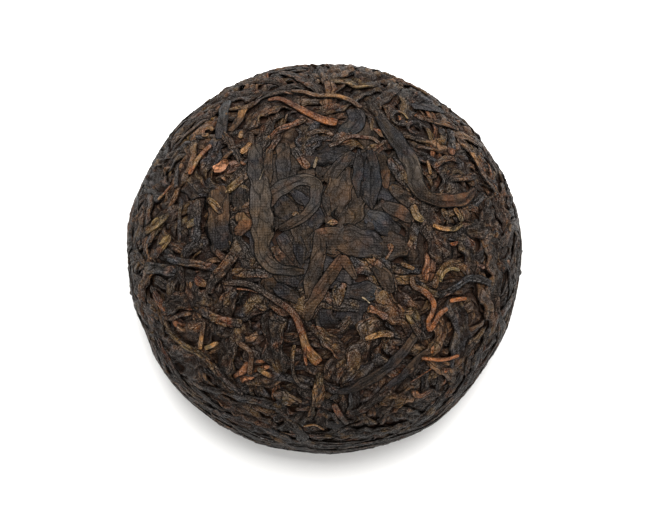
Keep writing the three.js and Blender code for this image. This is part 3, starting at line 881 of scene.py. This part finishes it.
def fold_section(rng, kind, count, stations, turns):
    """Sections of folded leaves that twist along them: across from -1 to 1, and up from 0 to 1."""
    angle = np.concatenate([[-math.pi / 2], np.arccos(np.linspace(0.98, -0.98, kind.sides - 1))])
    share = np.linspace(0, 1, stations)
    shape = (count, 1, 1)
    on_top = smooth_step(np.sin(angle), 0.0, 0.5)
    across = np.broadcast_to(np.cos(angle), (count, stations, kind.sides))
    fullness = min(max(1.5 * kind.plump, 0.25), 0.7)
    swell = np.sign(np.sin(angle)) * np.abs(np.sin(angle)) ** fullness
    up = np.broadcast_to((1 + swell) / 2, across.shape)
    phase = rng.uniform(0, 2 * math.pi, shape)
    lean = np.sin(phase + turns[:, None, None] * share[:, None])
    up = up + 0.5 * kind.folds * lean * across
    cut = np.zeros(across.shape)
    for _ in range(kind.grooves):
        wander = 0.3 * ripple(rng, count, share, np.abs(turns) / 3 + 1)[..., None]
        at = rng.uniform(-0.8, 0.8, shape) + wander
        deep = kind.folds * rng.uniform(0.4, 1.2, shape)
        cut += deep * np.exp(-(((across - at) * kind.sides / 3.2) ** 2)) * on_top
    return across, up - cut, cut, angle, on_top


def crumpling(rng, along, offset):
    """Small crossing waves over leaves, about -1 to 1, from places along and across them."""
    count = len(along)
    total = np.zeros(offset.shape)
    for _ in range(5):
        slope = rng.normal(0, 0.7, (count, 1, 1))
        pitch = rng.uniform(1.1, 3.2, (count, 1, 1))
        phase = rng.uniform(0, 2 * math.pi, (count, 1, 1))
        place = (np.sin(slope) * along[..., None] + np.cos(slope) * offset) / pitch
        total += 1 - 2 * np.abs(np.sin(math.pi * place + phase))
    return total / 2.5


def tea_shade(places):
    """How much lighter or darker the tea is from place to place, as a logarithm: a broad wave of
    painted light and shade, set to how the light falls over the nest, and smaller patches of tone.
    """
    x, y = np.moveaxis(places, -1, 0)
    # A broad wave of painted light and shade across the nest.
    painted_light_wave = np.sin(0.1 * (x + y) + 1.43)
    patches = np.sin(0.55 * x + 0.2 * y + 0.8) * np.sin(0.5 * y - 0.25 * x + 2.1)
    return 0.17 * painted_light_wave + 0.3 * patches


# Lightness of the leaves, as logarithms: all over, more on the crown, and painted shade low on the
# sides.
LIGHT = -0.735
LIGHT_ON_CROWN = -0.33
PAINTED_SHADE_LOW_DOWN = -0.97
LOW_DOWN = (38, 50)  # distances from the apex between which the painted shade of the low sides comes in
LIGHT_CLIP = (-2, 1.3)  # least and greatest lightness of a leaf, in spreads
LIGHT_ALONG = 0.13  # how much the lightness comes and goes along a leaf
PAINTED_GROOVE_SHADE = 2.4  # painted shade that a groove puts on a leaf, and that a crumple puts on it; the crumple's ridges get painted light
PAINTED_CRUMPLE_SHADE = 0.4
CROWN_CLEAR = 0.52  # share of that painted shade and light that is taken off the crown, which the cloth pressed flat
CLOTH_GREY = "#373334"  # what the leaves are dulled towards: a little, and more on the crown
DULL = 0.04
DULL_ON_CROWN = 0.26


def leaf_tones(rng, leaves, colours, cut, crumples):
    """Colours over leaves: their tones along them, with painted shade in the grooves and crumples and
    low on the sides, and painted light on the crumples' ridges.
    """
    count, stations = leaves.lines.shape[:2]
    length = leaves.along[:, -1]
    share = np.linspace(0, 1, stations)
    colour_stops = colours[leaves.tones]
    last = colour_stops.shape[1] - 1
    stop = np.clip(share + 0.07 * ripple(rng, count, share, length / 7), 0, 1) * last
    low = np.minimum(stop.astype(int), last - 1)
    blend = smooth_step(stop - low, 0.1, 0.9)[..., None]
    row = np.arange(count)[:, None]
    tone = colour_stops[row, low] * (1 - blend) + colour_stops[row, low + 1] * blend
    crown = leaves.face.crown(leaves.lines)
    dull = DULL + DULL_ON_CROWN * crown[..., None]
    tone = tone ** (1 - dull) * np.array(linear(CLOTH_GREY)) ** dull
    light = leaves.spread * np.clip(rng.normal(0, 1, (count, 1)), *LIGHT_CLIP)
    light = light + LIGHT_ALONG * ripple(rng, count, share, length / 5)
    # Painted shade low on the sides, which turn away from the light above.
    low_down = smooth_step(np.linalg.norm(leaves.lines, axis=-1), *LOW_DOWN)
    light = light * (1 - 0.3 * crown) + LIGHT + LIGHT_ON_CROWN * crown + PAINTED_SHADE_LOW_DOWN * low_down
    light = light + tea_shade(leaves.lines)
    # Painted shade in the grooves and crumples, and painted light where a crumple rises.
    dark = (PAINTED_GROOVE_SHADE * cut + PAINTED_CRUMPLE_SHADE * crumples) * (1 - CROWN_CLEAR * crown[..., None])
    return tone[:, :, None] * np.exp(light[..., None] - dark)[..., None]


def leaf_arrays(rng, leaves, colours):
    """Vertices, colours, depths, rims and unrolled places of leaves, one ring after another."""
    count, stations = leaves.lines.shape[:2]
    turns = leaves.along[:, -1] * rng.normal(0, 0.16, count)
    across, up, cut, angle, on_top = fold_section(rng, leaves.kind, count, stations, turns)
    left, right = leaves.rims
    offset = across * leaves.half_width[..., None] * np.where(
        across > 0, right[..., None], left[..., None]
    )
    crumples = crumpling(rng, leaves.along, offset) * on_top
    bumps = leaves.kind.crumple * crumples * np.minimum(1, leaves.thickness / 0.8)[..., None]
    places = leaves.lines[:, :, None] + leaves.side[:, :, None] * offset[..., None]
    depth = leaves.roof[..., None] + (1 - up) * leaves.thickness[..., None] + bumps
    depth = depth - leaves.bulge_at(across)
    depth = leaves.face.pressed(places, depth)
    depth = depth - leaves.lift * (1 - 0.8 * leaves.face.crown(places))
    points = leaves.face.points(places, depth)
    tone = leaf_tones(rng, leaves, colours, cut, crumples)
    # Each leaf is unrolled at its own far place, so that no two have the same pattern.
    shift = rng.uniform(0, 200, (count, 1, 1))
    half = leaves.half_width.max(axis=1)[:, None, None]
    around = (np.append(angle, 1.5 * math.pi) / (2 * math.pi) + 0.25) * (4.2 * half)
    unrolled = np.stack(np.broadcast_arrays(leaves.along[..., None] + shift, around + shift), -1)
    # The rim mask carries painted shade at the very edge and painted highlight just inside it.
    from_rim = (1 - np.abs(across)) * leaves.half_width[..., None]
    rim = 1 - smooth_step(from_rim, 0.03 + 0.05 * half, 0.3 + 0.12 * half)
    return points * MM, tone, depth, rim, unrolled


def leaf_mesh(name, rng, bundles, colours):
    """One mesh of closed tubes from bundles of leaves."""
    points, tones, depths, rims, loops, starts, coordinates = [], [], [], [], [], [], []
    first_vertex = first_loop = 0
    for leaves in bundles:
        place, tone, depth, rim, unrolled = leaf_arrays(rng, leaves, colours)
        count, stations, sides = depth.shape
        ring = np.arange(count * stations * sides).reshape(count, stations, sides) + first_vertex
        after = np.roll(ring, -1, axis=2)
        quads = np.stack([ring[:, :-1], ring[:, 1:], after[:, 1:], after[:, :-1]], -1)
        here, there = unrolled[:, :, :-1], unrolled[:, :, 1:]
        corners = np.stack([here[:, :-1], here[:, 1:], there[:, 1:], there[:, :-1]], -2)
        caps = np.stack([ring[:, 0], ring[:, -1, ::-1]], 1)
        cap_corners = np.stack([here[:, 0], here[:, -1, ::-1]], 1)
        if leaves.face.outward < 0:
            quads, corners = quads[..., ::-1], corners[..., ::-1, :]
            caps, cap_corners = caps[..., ::-1], cap_corners[..., ::-1, :]
        points.append(place.reshape(-1, 3))
        tones.append(tone.reshape(-1, 3))
        depths.append(depth.ravel())
        rims.append(rim.ravel())
        loops += [quads.ravel(), caps.ravel()]
        coordinates += [corners.reshape(-1, 2), cap_corners.reshape(-1, 2)]
        starts.append(first_loop + np.arange(quads.size // 4) * 4)
        starts.append(first_loop + quads.size + np.arange(2 * count) * sides)
        first_vertex += place.size // 3
        first_loop += quads.size + caps.size
    mesh = bpy.data.meshes.new(name)
    mesh.vertices.add(first_vertex)
    mesh.vertices.foreach_set("co", np.concatenate(points).astype(np.float32).ravel())
    mesh.loops.add(first_loop)
    mesh.loops.foreach_set("vertex_index", np.concatenate(loops).astype(np.int32))
    starts = np.concatenate(starts).astype(np.int32)
    mesh.polygons.add(len(starts))
    mesh.polygons.foreach_set("loop_start", starts)
    mesh.polygons.foreach_set("use_smooth", np.ones(len(starts), bool))
    mesh.update(calc_edges=True)
    layer = mesh.uv_layers.new(name="along_leaf")
    layer.uv.foreach_set("vector", np.concatenate(coordinates).astype(np.float32).ravel())
    tone = np.column_stack([np.clip(np.concatenate(tones), 0, 1), np.ones(first_vertex)])
    for label, kind, field, values in (
        ("leaf_tone", "FLOAT_COLOR", "color", tone),
        ("sunk", "FLOAT", "value", np.concatenate(depths)),
        ("rim", "FLOAT", "value", np.concatenate(rims)),
    ):
        attribute = mesh.attributes.new(label, kind, "POINT")
        attribute.data.foreach_set(field, values.astype(np.float32).ravel())
    return mesh


def add_node(tree, kind, inputs=None, **settings):
    """Adds a shader node with its settings, and sets its inputs by name or number.

    An input that is a socket is linked, and one that is a node is linked to its first output.
    """
    made = tree.nodes.new("ShaderNode" + kind)
    for name, value in settings.items():
        setattr(made, name, value)
    for socket, value in (inputs or {}).items():
        if isinstance(value, bpy.types.Node):
            value = value.outputs[0]
        if isinstance(value, bpy.types.NodeSocket):
            tree.links.new(value, made.inputs[socket])
        else:
            made.inputs[socket].default_value = value
    return made


def new_material(name):
    """An empty material, its node tree, and its shader."""
    material = bpy.data.materials.new(name)
    material.use_nodes = True
    tree = material.node_tree
    return material, tree, tree.nodes["Principled BSDF"]


def cloth_marks(tree, place, height, strength):
    """Adds to a height the faint weave that the cloth leaves on the crown.

    Real threads lie 0.5 mm apart. They are drawn a little coarser, so that they show.
    """
    axes = add_node(tree, "SeparateXYZ", {0: place})
    patches = add_node(
        tree, "TexNoise", {"Vector": place, "Scale": 1 / (6 * MM), "Detail": 1.0}
    )
    patchy = add_node(
        tree, "MapRange",
        {"Value": patches, "From Min": 0.42, "From Max": 0.6, "To Min": 0.15 * strength,
         "To Max": 1.4 * strength},
    )
    on_crown = add_node(
        tree, "MapRange",
        {"Value": axes.outputs["Z"], "From Min": 35 * MM, "From Max": 40 * MM, "To Max": patchy},
    )
    for axis in ("X", "Y"):
        thread = add_node(
            tree, "Math", {0: axes.outputs[axis], 1: 2 * math.pi / (0.52 * MM)},
            operation="MULTIPLY",
        )
        wave = add_node(tree, "Math", {0: thread}, operation="SINE")
        height = add_node(
            tree, "Math", {0: wave, 1: on_crown, 2: height}, operation="MULTIPLY_ADD"
        )
    return height


# Length and width in millimetres of the fibres and the stains.
FIBRE = (1.5, 0.27)
STAIN = (4.0, 2.2)
STAIN_TONES = ("#503420", "#4c3a22", "#2c2d2f")  # red-brown, yellow-brown and slate
COOL_TINT = (0.83, 0.9, 1.01, 1)
WARM_TINT = (1.16, 1.07, 0.94, 1)
GLINT = "#221f1d"  # painted glint, with some dust: the grey added along the fibres and the grain
DARKEST = "#0d0906"
PAINTED_GAP_SHADE = "#1e120c"  # painted shade: the brown dark mixed into the deep gaps
SHEEN = "#fffaf5"


def fermented_leaf(
    name, roughness, relief, stained, creased=0.75, streaked=0.5, grainy=1.3, edge=0.15, woven=0.0,
    cells=((5.0, 1.8), (1.7, 0.8)), patch=1.3,
):
    """Dry fermented leaf, in the browns of its mesh.

    The eye sees a dull satin sheen over brown-black. The brown drifts between warm and cool, with
    stains on it. Fine fibres and the grain carry painted glints, with some dust, and painted shade
    between them. Creases part it into cells, with painted shade in the creases and painted
    highlights on the ridges beside them. The rims have painted shade at the very edge, inside a
    band of painted highlight, and the gaps get painted shade, near black. Blades show the weave of
    the cloth.
    Cells are lengths and widths of the creased cells, and a patch is as wide as a warm place, in
    millimetres.
    """
    material, tree, shader = new_material(name)
    coordinates = add_node(tree, "TexCoord")
    unrolled, place = coordinates.outputs["UV"], coordinates.outputs["Object"]
    tone, sunk, rim = (
        add_node(tree, "Attribute", attribute_name=attribute)
        for attribute in ("leaf_tone", "sunk", "rim")
    )
    depth, rim = sunk.outputs["Fac"], rim.outputs["Fac"]
    fibre_map, stain_map, *fold_maps = (
        add_node(tree, "Mapping", {"Vector": unrolled, "Scale": (1 / length, 1 / width, 1)})
        for length, width in (FIBRE, STAIN, *cells)
    )
    fibre, stain, grain, crinkle, hue = (
        add_node(
            tree, "TexNoise",
            {"Vector": vector, "Scale": scale, "Detail": detail, "Roughness": fineness},
        )
        for vector, scale, detail, fineness in (
            (fibre_map, 1.0, 2.0, 0.55),
            (stain_map, 1.0, 3.0, 0.5),
            (place, 1 / (0.22 * MM), 0.0, 0.5),
            (place, 1 / (0.9 * MM), 3.0, 0.6),
            (place, 1 / (patch * MM), 1.0, 0.5),
        )
    )
    # Creased cells: their edges carry painted shade, and the ridges beside them painted highlights.
    creases, ridges = [], []
    for fold_map in fold_maps:
        bent = add_node(tree, "TexNoise", {"Vector": fold_map, "Scale": 1.3, "Detail": 2.0})
        bent_map = add_node(
            tree, "VectorMath", {0: bent.outputs["Color"], 1: (0.9, 0.9, 0.0), 2: fold_map},
            operation="MULTIPLY_ADD",
        )
        fold = add_node(
            tree, "TexVoronoi", {"Vector": bent_map, "Scale": 1.0},
            feature="DISTANCE_TO_EDGE", voronoi_dimensions="2D",
        )
        ridges.append(fold.outputs["Distance"])
        creases.append(add_node(
            tree, "MapRange", {"Value": ridges[-1], "From Min": 0.0, "From Max": 0.07},
            interpolation_type="SMOOTHSTEP",
        ))
    # Each source and its range, with what the ends of the range become.
    warm, streak, speck, gap_shading, rough = (
        add_node(
            tree, "MapRange",
            {"Value": source, "From Min": low, "From Max": high, "To Min": start, "To Max": end},
        )
        for source, low, high, start, end in (
            (hue, 0.36, 0.64, 0.0, 1.0),
            (fibre, 0.38, 0.62, -0.7 * streaked, streaked),
            (grain, 0.4, 0.64, -0.6 * grainy, grainy),
            (depth, 0.3, 1.1, 0.0, 0.8),
            (grain, 0.3, 0.7, roughness + 0.06, roughness - 0.18),
        )
    )
    tint = add_node(tree, "Mix", {0: warm, 6: COOL_TINT, 7: WARM_TINT}, data_type="RGBA")
    stained_tone = add_node(
        tree, "VectorMath", {0: tone, 1: tint.outputs[2]}, operation="MULTIPLY"
    ).outputs[0]
    stains = add_node(tree, "SeparateColor", {0: stain.outputs["Color"]})
    for channel, code in enumerate(STAIN_TONES):
        amount = add_node(
            tree, "MapRange",
            {"Value": stains.outputs[channel], "From Min": 0.54, "From Max": 0.68, "To Max": stained},
        )
        stained_tone = add_node(
            tree, "Mix", {0: amount, 6: stained_tone, 7: (*linear(code), 1)}, data_type="RGBA"
        ).outputs[2]
    # Painted glints along the fibres and on the grain, with some dust, and painted shade between them.
    glint = add_node(tree, "Math", {0: streak, 1: speck}, operation="ADD")
    glinting = add_node(
        tree, "VectorMath", {0: glint, 1: linear(GLINT), 2: stained_tone},
        operation="MULTIPLY_ADD",
    )
    lit = add_node(
        tree, "VectorMath", {0: glinting, 1: linear(DARKEST)}, operation="MAXIMUM"
    )
    # Fibre streaks; painted shade in the creases, and painted highlights on the ridges beside them.
    shade = 1.0
    for source, low, high, start, end in (
        (fibre, 0.38, 0.62, 1 - 0.28 * streaked, 1 + 0.28 * streaked),
        (creases[0], 0.0, 1.0, 1 - creased, 1.0),
        (creases[1], 0.0, 1.0, 1 - 0.8 * creased, 1.0),
        (ridges[0], 0.08, 0.22, 1 + 0.5 * creased, 1.0),
        (ridges[1], 0.08, 0.26, 1 + 0.4 * creased, 1.0),
        # Painted shade at the very rim, inside a band of painted highlight.
        (rim, 0.45, 1.0, 1.0, edge),
        (rim, 0.0, 0.4, 1.0, 1.3),
        # Painted light high up and painted shade deep down.
        (depth, -0.1, 0.7, 1.25, 0.75),
    ):
        factor = add_node(
            tree, "MapRange",
            {"Value": source, "From Min": low, "From Max": high, "To Min": start, "To Max": end},
        )
        shade = add_node(tree, "Math", {0: shade, 1: factor}, operation="MULTIPLY")
    shaded = add_node(tree, "VectorMath", {0: lit, "Scale": shade}, operation="SCALE")
    # Painted shade in the deep gaps, towards a brown dark.
    sunken = add_node(
        tree, "Mix", {0: gap_shading, 6: shaded, 7: (*linear(PAINTED_GAP_SHADE), 1)}, data_type="RGBA"
    )
    height = creases[0]
    for source, share in ((fibre, 0.8), (creases[1], 0.6), (crinkle, 1.5)):
        height = add_node(
            tree, "Math", {0: source, 1: share, 2: height}, operation="MULTIPLY_ADD"
        )
    if woven:
        height = cloth_marks(tree, place, height, woven)
    bump = add_node(
        tree, "Bump", {"Height": height, "Strength": 1.0, "Distance": relief * MM}
    )
    tree.links.new(sunken.outputs[2], shader.inputs["Base Color"])
    tree.links.new(rough.outputs[0], shader.inputs["Roughness"])
    tree.links.new(bump.outputs[0], shader.inputs["Normal"])
    shader.inputs["Specular IOR Level"].default_value = 0.08
    shader.inputs["Specular Tint"].default_value = (*linear(SHEEN), 1)
    return material


def packed_core():
    """Fermented leaf in the dark of the heap: brown-black clods, seen only through gaps."""
    material, tree, shader = new_material("packed_leaf_core")
    place = add_node(tree, "TexCoord").outputs["Object"]
    clods = add_node(
        tree, "TexNoise", {"Vector": place, "Scale": 1 / (1.8 * MM), "Detail": 4.0}
    )
    dark = add_node(
        tree, "Mix", {0: clods, 6: (*linear("#1a100a"), 1), 7: (*linear("#40291b"), 1)},
        data_type="RGBA",
    )
    bump = add_node(
        tree, "Bump", {"Height": clods, "Strength": 0.7, "Distance": 0.5 * MM}
    )
    tree.links.new(dark.outputs[2], shader.inputs["Base Color"])
    tree.links.new(bump.outputs[0], shader.inputs["Normal"])
    shader.inputs["Roughness"].default_value = 0.8
    shader.inputs["Specular IOR Level"].default_value = 0.2
    return material


def matt_paper(tone):
    """Matt paper: pale, with a grain too fine to see, so that only a faint cloudiness is left."""
    material, tree, shader = new_material("matt_paper")
    place = add_node(tree, "TexCoord").outputs["Object"]
    cloud = add_node(tree, "TexNoise", {"Vector": place, "Scale": 1 / (40 * MM)})
    pale = add_node(
        tree, "Mix", {0: cloud, 6: (*tone, 1), 7: (*(0.985 * c for c in tone), 1)},
        data_type="RGBA",
    )
    tree.links.new(pale.outputs[2], shader.inputs["Base Color"])
    shader.inputs["Roughness"].default_value = 0.9
    shader.inputs["Specular IOR Level"].default_value = 0.1
    return material


HEAPS = {}


def pressed_heap(context):
    """The heap of leaves for the scene's sizes, laid once and kept."""
    sizes = context.scene.tea_nest_sizes
    key = tuple(getattr(sizes, name) for name in TeaNestSizes.__annotations__)
    if key not in HEAPS:
        HEAPS[key] = Heap(sizes)
    return HEAPS[key]


def settle(piece, material):
    """Gives a piece its finish, and makes it part of the nest."""
    piece.data.materials.append(material)
    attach(piece, BODY)
    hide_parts(NODE)


def build_leaves(context, name, material, seed):
    """Makes one piece of the leaves that the heap has under its name."""
    bundles = pressed_heap(context).pieces[name]
    if not any(len(leaves.lines) for leaves in bundles):
        raise RuntimeError(f"no leaf of {name} shows")
    tones = context.scene.tea_leaf_colours
    colours = np.array([tuple(getattr(tones, t)) for t in TONES])
    mesh = leaf_mesh(name, np.random.default_rng(seed), bundles, colours)
    piece = bpy.data.objects.new(name, mesh)
    context.scene.collection.objects.link(piece)
    settle(piece, material)
    return {"FINISHED"}


class TEA_OT_core(Operator):
    """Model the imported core: a bun drawn up ring by ring, with a hollow pushed into its underside"""

    bl_idname = "tea.core"
    bl_label = "Packed Core"

    SIDES = 72  # vertices round each ring
    EVERY = 6  # steps of the section from ring to ring
    LEAST_RADIUS = 0.05  # the rings at the poles are no smaller
    MERGE = 0.02  # vertices nearer than this become one

    def execute(self, context):
        sizes = context.scene.tea_nest_sizes
        inset = sizes.core_inset / MM
        dome = Face(dome_section(sizes), 1, NO_CROWN)
        hollow = Face(hollow_section(sizes), -1, NO_CROWN)
        outside, inside = (face.section_at(inset)[:: -self.EVERY] for face in (dome, hollow))
        bpy.ops.object.select_all(action="DESELECT")
        radius, height = outside[0]
        bpy.ops.mesh.primitive_circle_add(
            vertices=self.SIDES, radius=radius * MM, fill_type="NGON", location=(0, 0, height * MM)
        )
        core = context.object
        core.name = core.data.name = "core"
        bpy.ops.object.transform_apply(location=True)
        bpy.ops.object.mode_set(mode="EDIT")
        self.draw_rings(outside)
        bpy.ops.mesh.select_all(action="DESELECT")
        bpy.ops.object.mode_set(mode="OBJECT")
        caps = [face for face in core.data.polygons if len(face.vertices) > 4]
        if not caps:
            raise RuntimeError("the core has no cap to push the hollow into")
        min(caps, key=lambda face: face.center.z).select = True
        bpy.ops.object.mode_set(mode="EDIT")
        bpy.ops.mesh.select_mode(type="FACE")
        self.draw_rings([outside[0], *inside])
        bpy.ops.mesh.select_all(action="SELECT")
        bpy.ops.mesh.remove_doubles(threshold=self.MERGE * MM)
        bpy.ops.mesh.normals_make_consistent(inside=False)
        bpy.ops.object.mode_set(mode="OBJECT")
        bpy.ops.object.shade_smooth()
        settle(core, packed_core())
        return {"FINISHED"}

    def draw_rings(self, rings):
        """Draws the selected cap from ring to ring."""
        for (radius, height), (next_radius, next_height) in zip(rings, rings[1:]):
            share = max(next_radius, self.LEAST_RADIUS) / max(radius, self.LEAST_RADIUS)
            bpy.ops.mesh.extrude_region_move(
                TRANSFORM_OT_translate={"value": (0, 0, (next_height - height) * MM)}
            )
            bpy.ops.transform.resize(
                value=(share, share, 1), center_override=(0, 0, next_height * MM)
            )


class TEA_OT_bed_leaves(Operator):
    """Make the lowest leaves, which show between the others"""

    bl_idname = "tea.bed_leaves"
    bl_label = "Bed Leaves"

    def execute(self, context):
        # Matt leaf in the shade of those over it.
        leaf = fermented_leaf("bed_leaf", roughness=0.62, relief=0.2, stained=0.4)
        return build_leaves(context, "bed_leaves", leaf, seed=1)


class TEA_OT_rolled_leaves(Operator):
    """Make the rolled leaves of the dome"""

    bl_idname = "tea.rolled_leaves"
    bl_label = "Rolled Leaves"

    def execute(self, context):
        # Leaf rolled by hand while wet: ridged along the roll, with a soft gleam on its back.
        leaf = fermented_leaf("rolled_leaf", roughness=0.55, relief=0.22, stained=0.45)
        return build_leaves(context, "rolled_leaves", leaf, seed=2)


class TEA_OT_crumpled_leaves(Operator):
    """Make the wide crumpled leaves"""

    bl_idname = "tea.crumpled_leaves"
    bl_label = "Crumpled Leaves"

    def execute(self, context):
        # Leaf crumpled as it dried: deep crinkles break the light up.
        leaf = fermented_leaf("crumpled_leaf", roughness=0.56, relief=0.24, stained=0.45)
        return build_leaves(context, "crumpled_leaves", leaf, seed=10)


class TEA_OT_thin_leaves(Operator):
    """Make the thin twisted leaves"""

    bl_idname = "tea.thin_leaves"
    bl_label = "Thin Leaves"

    def execute(self, context):
        # Leaf twisted to a thread: fine ridges, little gleam.
        leaf = fermented_leaf("twisted_leaf", roughness=0.58, relief=0.18, stained=0.4)
        return build_leaves(context, "thin_leaves", leaf, seed=3)


class TEA_OT_belt_leaves(Operator):
    """Make the long leaves that lie round the sides"""

    bl_idname = "tea.belt_leaves"
    bl_label = "Belt Leaves"

    def execute(self, context):
        # Leaf drawn out by the turning cloth: long flat ridges with a dull gleam.
        leaf = fermented_leaf("belt_leaf", roughness=0.58, relief=0.22, stained=0.4)
        return build_leaves(context, "belt_leaves", leaf, seed=4)


class TEA_OT_blades(Operator):
    """Make the flat leaf blades"""

    bl_idname = "tea.blades"
    bl_label = "Blades"

    def execute(self, context):
        # Smooth blade under the cloth: grey, with few long creases and the faint weave.
        leaf = fermented_leaf(
            "leaf_blade", roughness=0.6, relief=0.14, stained=0.12, creased=0.58, streaked=0.15,
            grainy=0.35, edge=0.0, woven=0.26, cells=((9.0, 3.0), (3.0, 1.2)), patch=3.5,
        )
        return build_leaves(context, "blades", leaf, seed=5)


class TEA_OT_stems(Operator):
    """Make the stems"""

    bl_idname = "tea.stems"
    bl_label = "Stems"

    def execute(self, context):
        # Bare stem: woody, of one tone, with few creases and a clean edge.
        leaf = fermented_leaf(
            "leaf_stem", roughness=0.55, relief=0.1, stained=0.08, creased=0.45, edge=0.1
        )
        return build_leaves(context, "stems", leaf, seed=6)


class TEA_OT_buds(Operator):
    """Make the bud tips"""

    bl_idname = "tea.buds"
    bl_label = "Bud Tips"

    def execute(self, context):
        # Bud with its down: matt and soft, paler in places.
        leaf = fermented_leaf("bud_tip", roughness=0.65, relief=0.08, stained=0.5)
        return build_leaves(context, "bud_tips", leaf, seed=7)


class TEA_OT_crumbs(Operator):
    """Make the broken bits of leaf"""

    bl_idname = "tea.crumbs"
    bl_label = "Leaf Crumbs"

    def execute(self, context):
        # Torn leaf: rough, dusty and stained.
        leaf = fermented_leaf("broken_leaf", roughness=0.6, relief=0.2, stained=0.45)
        return build_leaves(context, "leaf_crumbs", leaf, seed=8)


class TEA_OT_hollow_leaves(Operator):
    """Make the leaves of the foot ring and the hollow"""

    bl_idname = "tea.hollow_leaves"
    bl_label = "Hollow Leaves"

    def execute(self, context):
        # Leaf pressed against the mould: matt, with little relief.
        leaf = fermented_leaf("hollow_leaf", roughness=0.6, relief=0.1, stained=0.3)
        return build_leaves(context, "hollow_leaves", leaf, seed=9)


class TEA_OT_studio(Operator):
    """Set up the floor, the lights and the camera"""

    bl_idname = "tea.studio"
    bl_label = "Studio"

    FLOOR_WIDTH = 4  # in metres, as are the places and widths of the soft boxes
    KEY = ((0.06, 0.42, 0.95), 1.0)
    FILL = ((0.1, -0.7, 0.8), 1.2)

    def execute(self, context):
        studio = context.scene.tea_studio
        bpy.ops.object.select_all(action="DESELECT")
        bpy.ops.mesh.primitive_plane_add(size=self.FLOOR_WIDTH)
        floor = context.object
        floor.name = floor.data.name = "floor"
        floor.data.materials.append(matt_paper(tuple(studio.floor)))
        self.light("key", *self.KEY, studio.key_watts)
        self.light("fill", *self.FILL, studio.fill_watts)
        world = context.scene.world or bpy.data.worlds.new("studio")
        context.scene.world = world
        world.use_nodes = True
        background = world.node_tree.nodes["Background"]
        background.inputs["Color"].default_value = (1, 1, 1, 1)
        background.inputs["Strength"].default_value = studio.sky
        context.scene.view_settings.view_transform = "Standard"
        rise = studio.elevation
        back = Vector((0, -math.cos(rise), math.sin(rise)))
        lens = bpy.data.cameras.new("camera")
        lens.lens = studio.lens
        lens.clip_start = 0.01
        camera = bpy.data.objects.new("camera", lens)
        camera.location = Vector((0, 0, studio.aim_height)) + back * studio.distance
        camera.rotation_euler = (-back).to_track_quat("-Z", "Y").to_euler()
        context.scene.collection.objects.link(camera)
        context.scene.camera = camera
        return {"FINISHED"}

    @staticmethod
    def light(name, place, width, watts):
        """A square soft box that faces the nest."""
        lamp = bpy.data.lights.new(name, "AREA")
        lamp.size = width
        lamp.energy = watts
        holder = bpy.data.objects.new(name, lamp)
        holder.location = place
        holder.rotation_euler = (-Vector(place)).to_track_quat("-Z", "Y").to_euler()
        bpy.context.scene.collection.objects.link(holder)


STEPS = (
    TEA_OT_core, TEA_OT_bed_leaves, TEA_OT_rolled_leaves, TEA_OT_crumpled_leaves,
    TEA_OT_thin_leaves, TEA_OT_belt_leaves, TEA_OT_blades, TEA_OT_stems, TEA_OT_buds,
    TEA_OT_crumbs, TEA_OT_hollow_leaves, TEA_OT_studio,
)


class TEA_PT_panel(Panel):
    """Lists the settings and the steps of the nest"""

    bl_label = "Pressed Tea Nest"
    bl_idname = "TEA_PT_panel"
    bl_space_type = "VIEW_3D"
    bl_region_type = "UI"
    bl_category = "Tea"

    def draw(self, context):
        scene = context.scene
        for group in (scene.tea_nest_sizes, scene.tea_leaf_colours, scene.tea_studio):
            box = self.layout.box()
            for name in type(group).__annotations__:
                box.prop(group, name)
        for step in STEPS:
            self.layout.operator(step.bl_idname)


GROUPS = {
    "tea_nest_sizes": TeaNestSizes,
    "tea_leaf_colours": TeaLeafColours,
    "tea_studio": TeaStudio,
}


def register():
    for cls in (*GROUPS.values(), *STEPS, TEA_PT_panel):
        bpy.utils.register_class(cls)
    for name, group in GROUPS.items():
        setattr(bpy.types.Scene, name, PointerProperty(type=group))


def unregister():
    for name in GROUPS:
        delattr(bpy.types.Scene, name)
    for cls in (TEA_PT_panel, *reversed(STEPS), *reversed(GROUPS.values())):
        bpy.utils.unregister_class(cls)


def main():
    register()
    for step in STEPS:
        module, name = step.bl_idname.split(".")
        getattr(getattr(bpy.ops, module), name)()


if __name__ == "__main__":
    main()
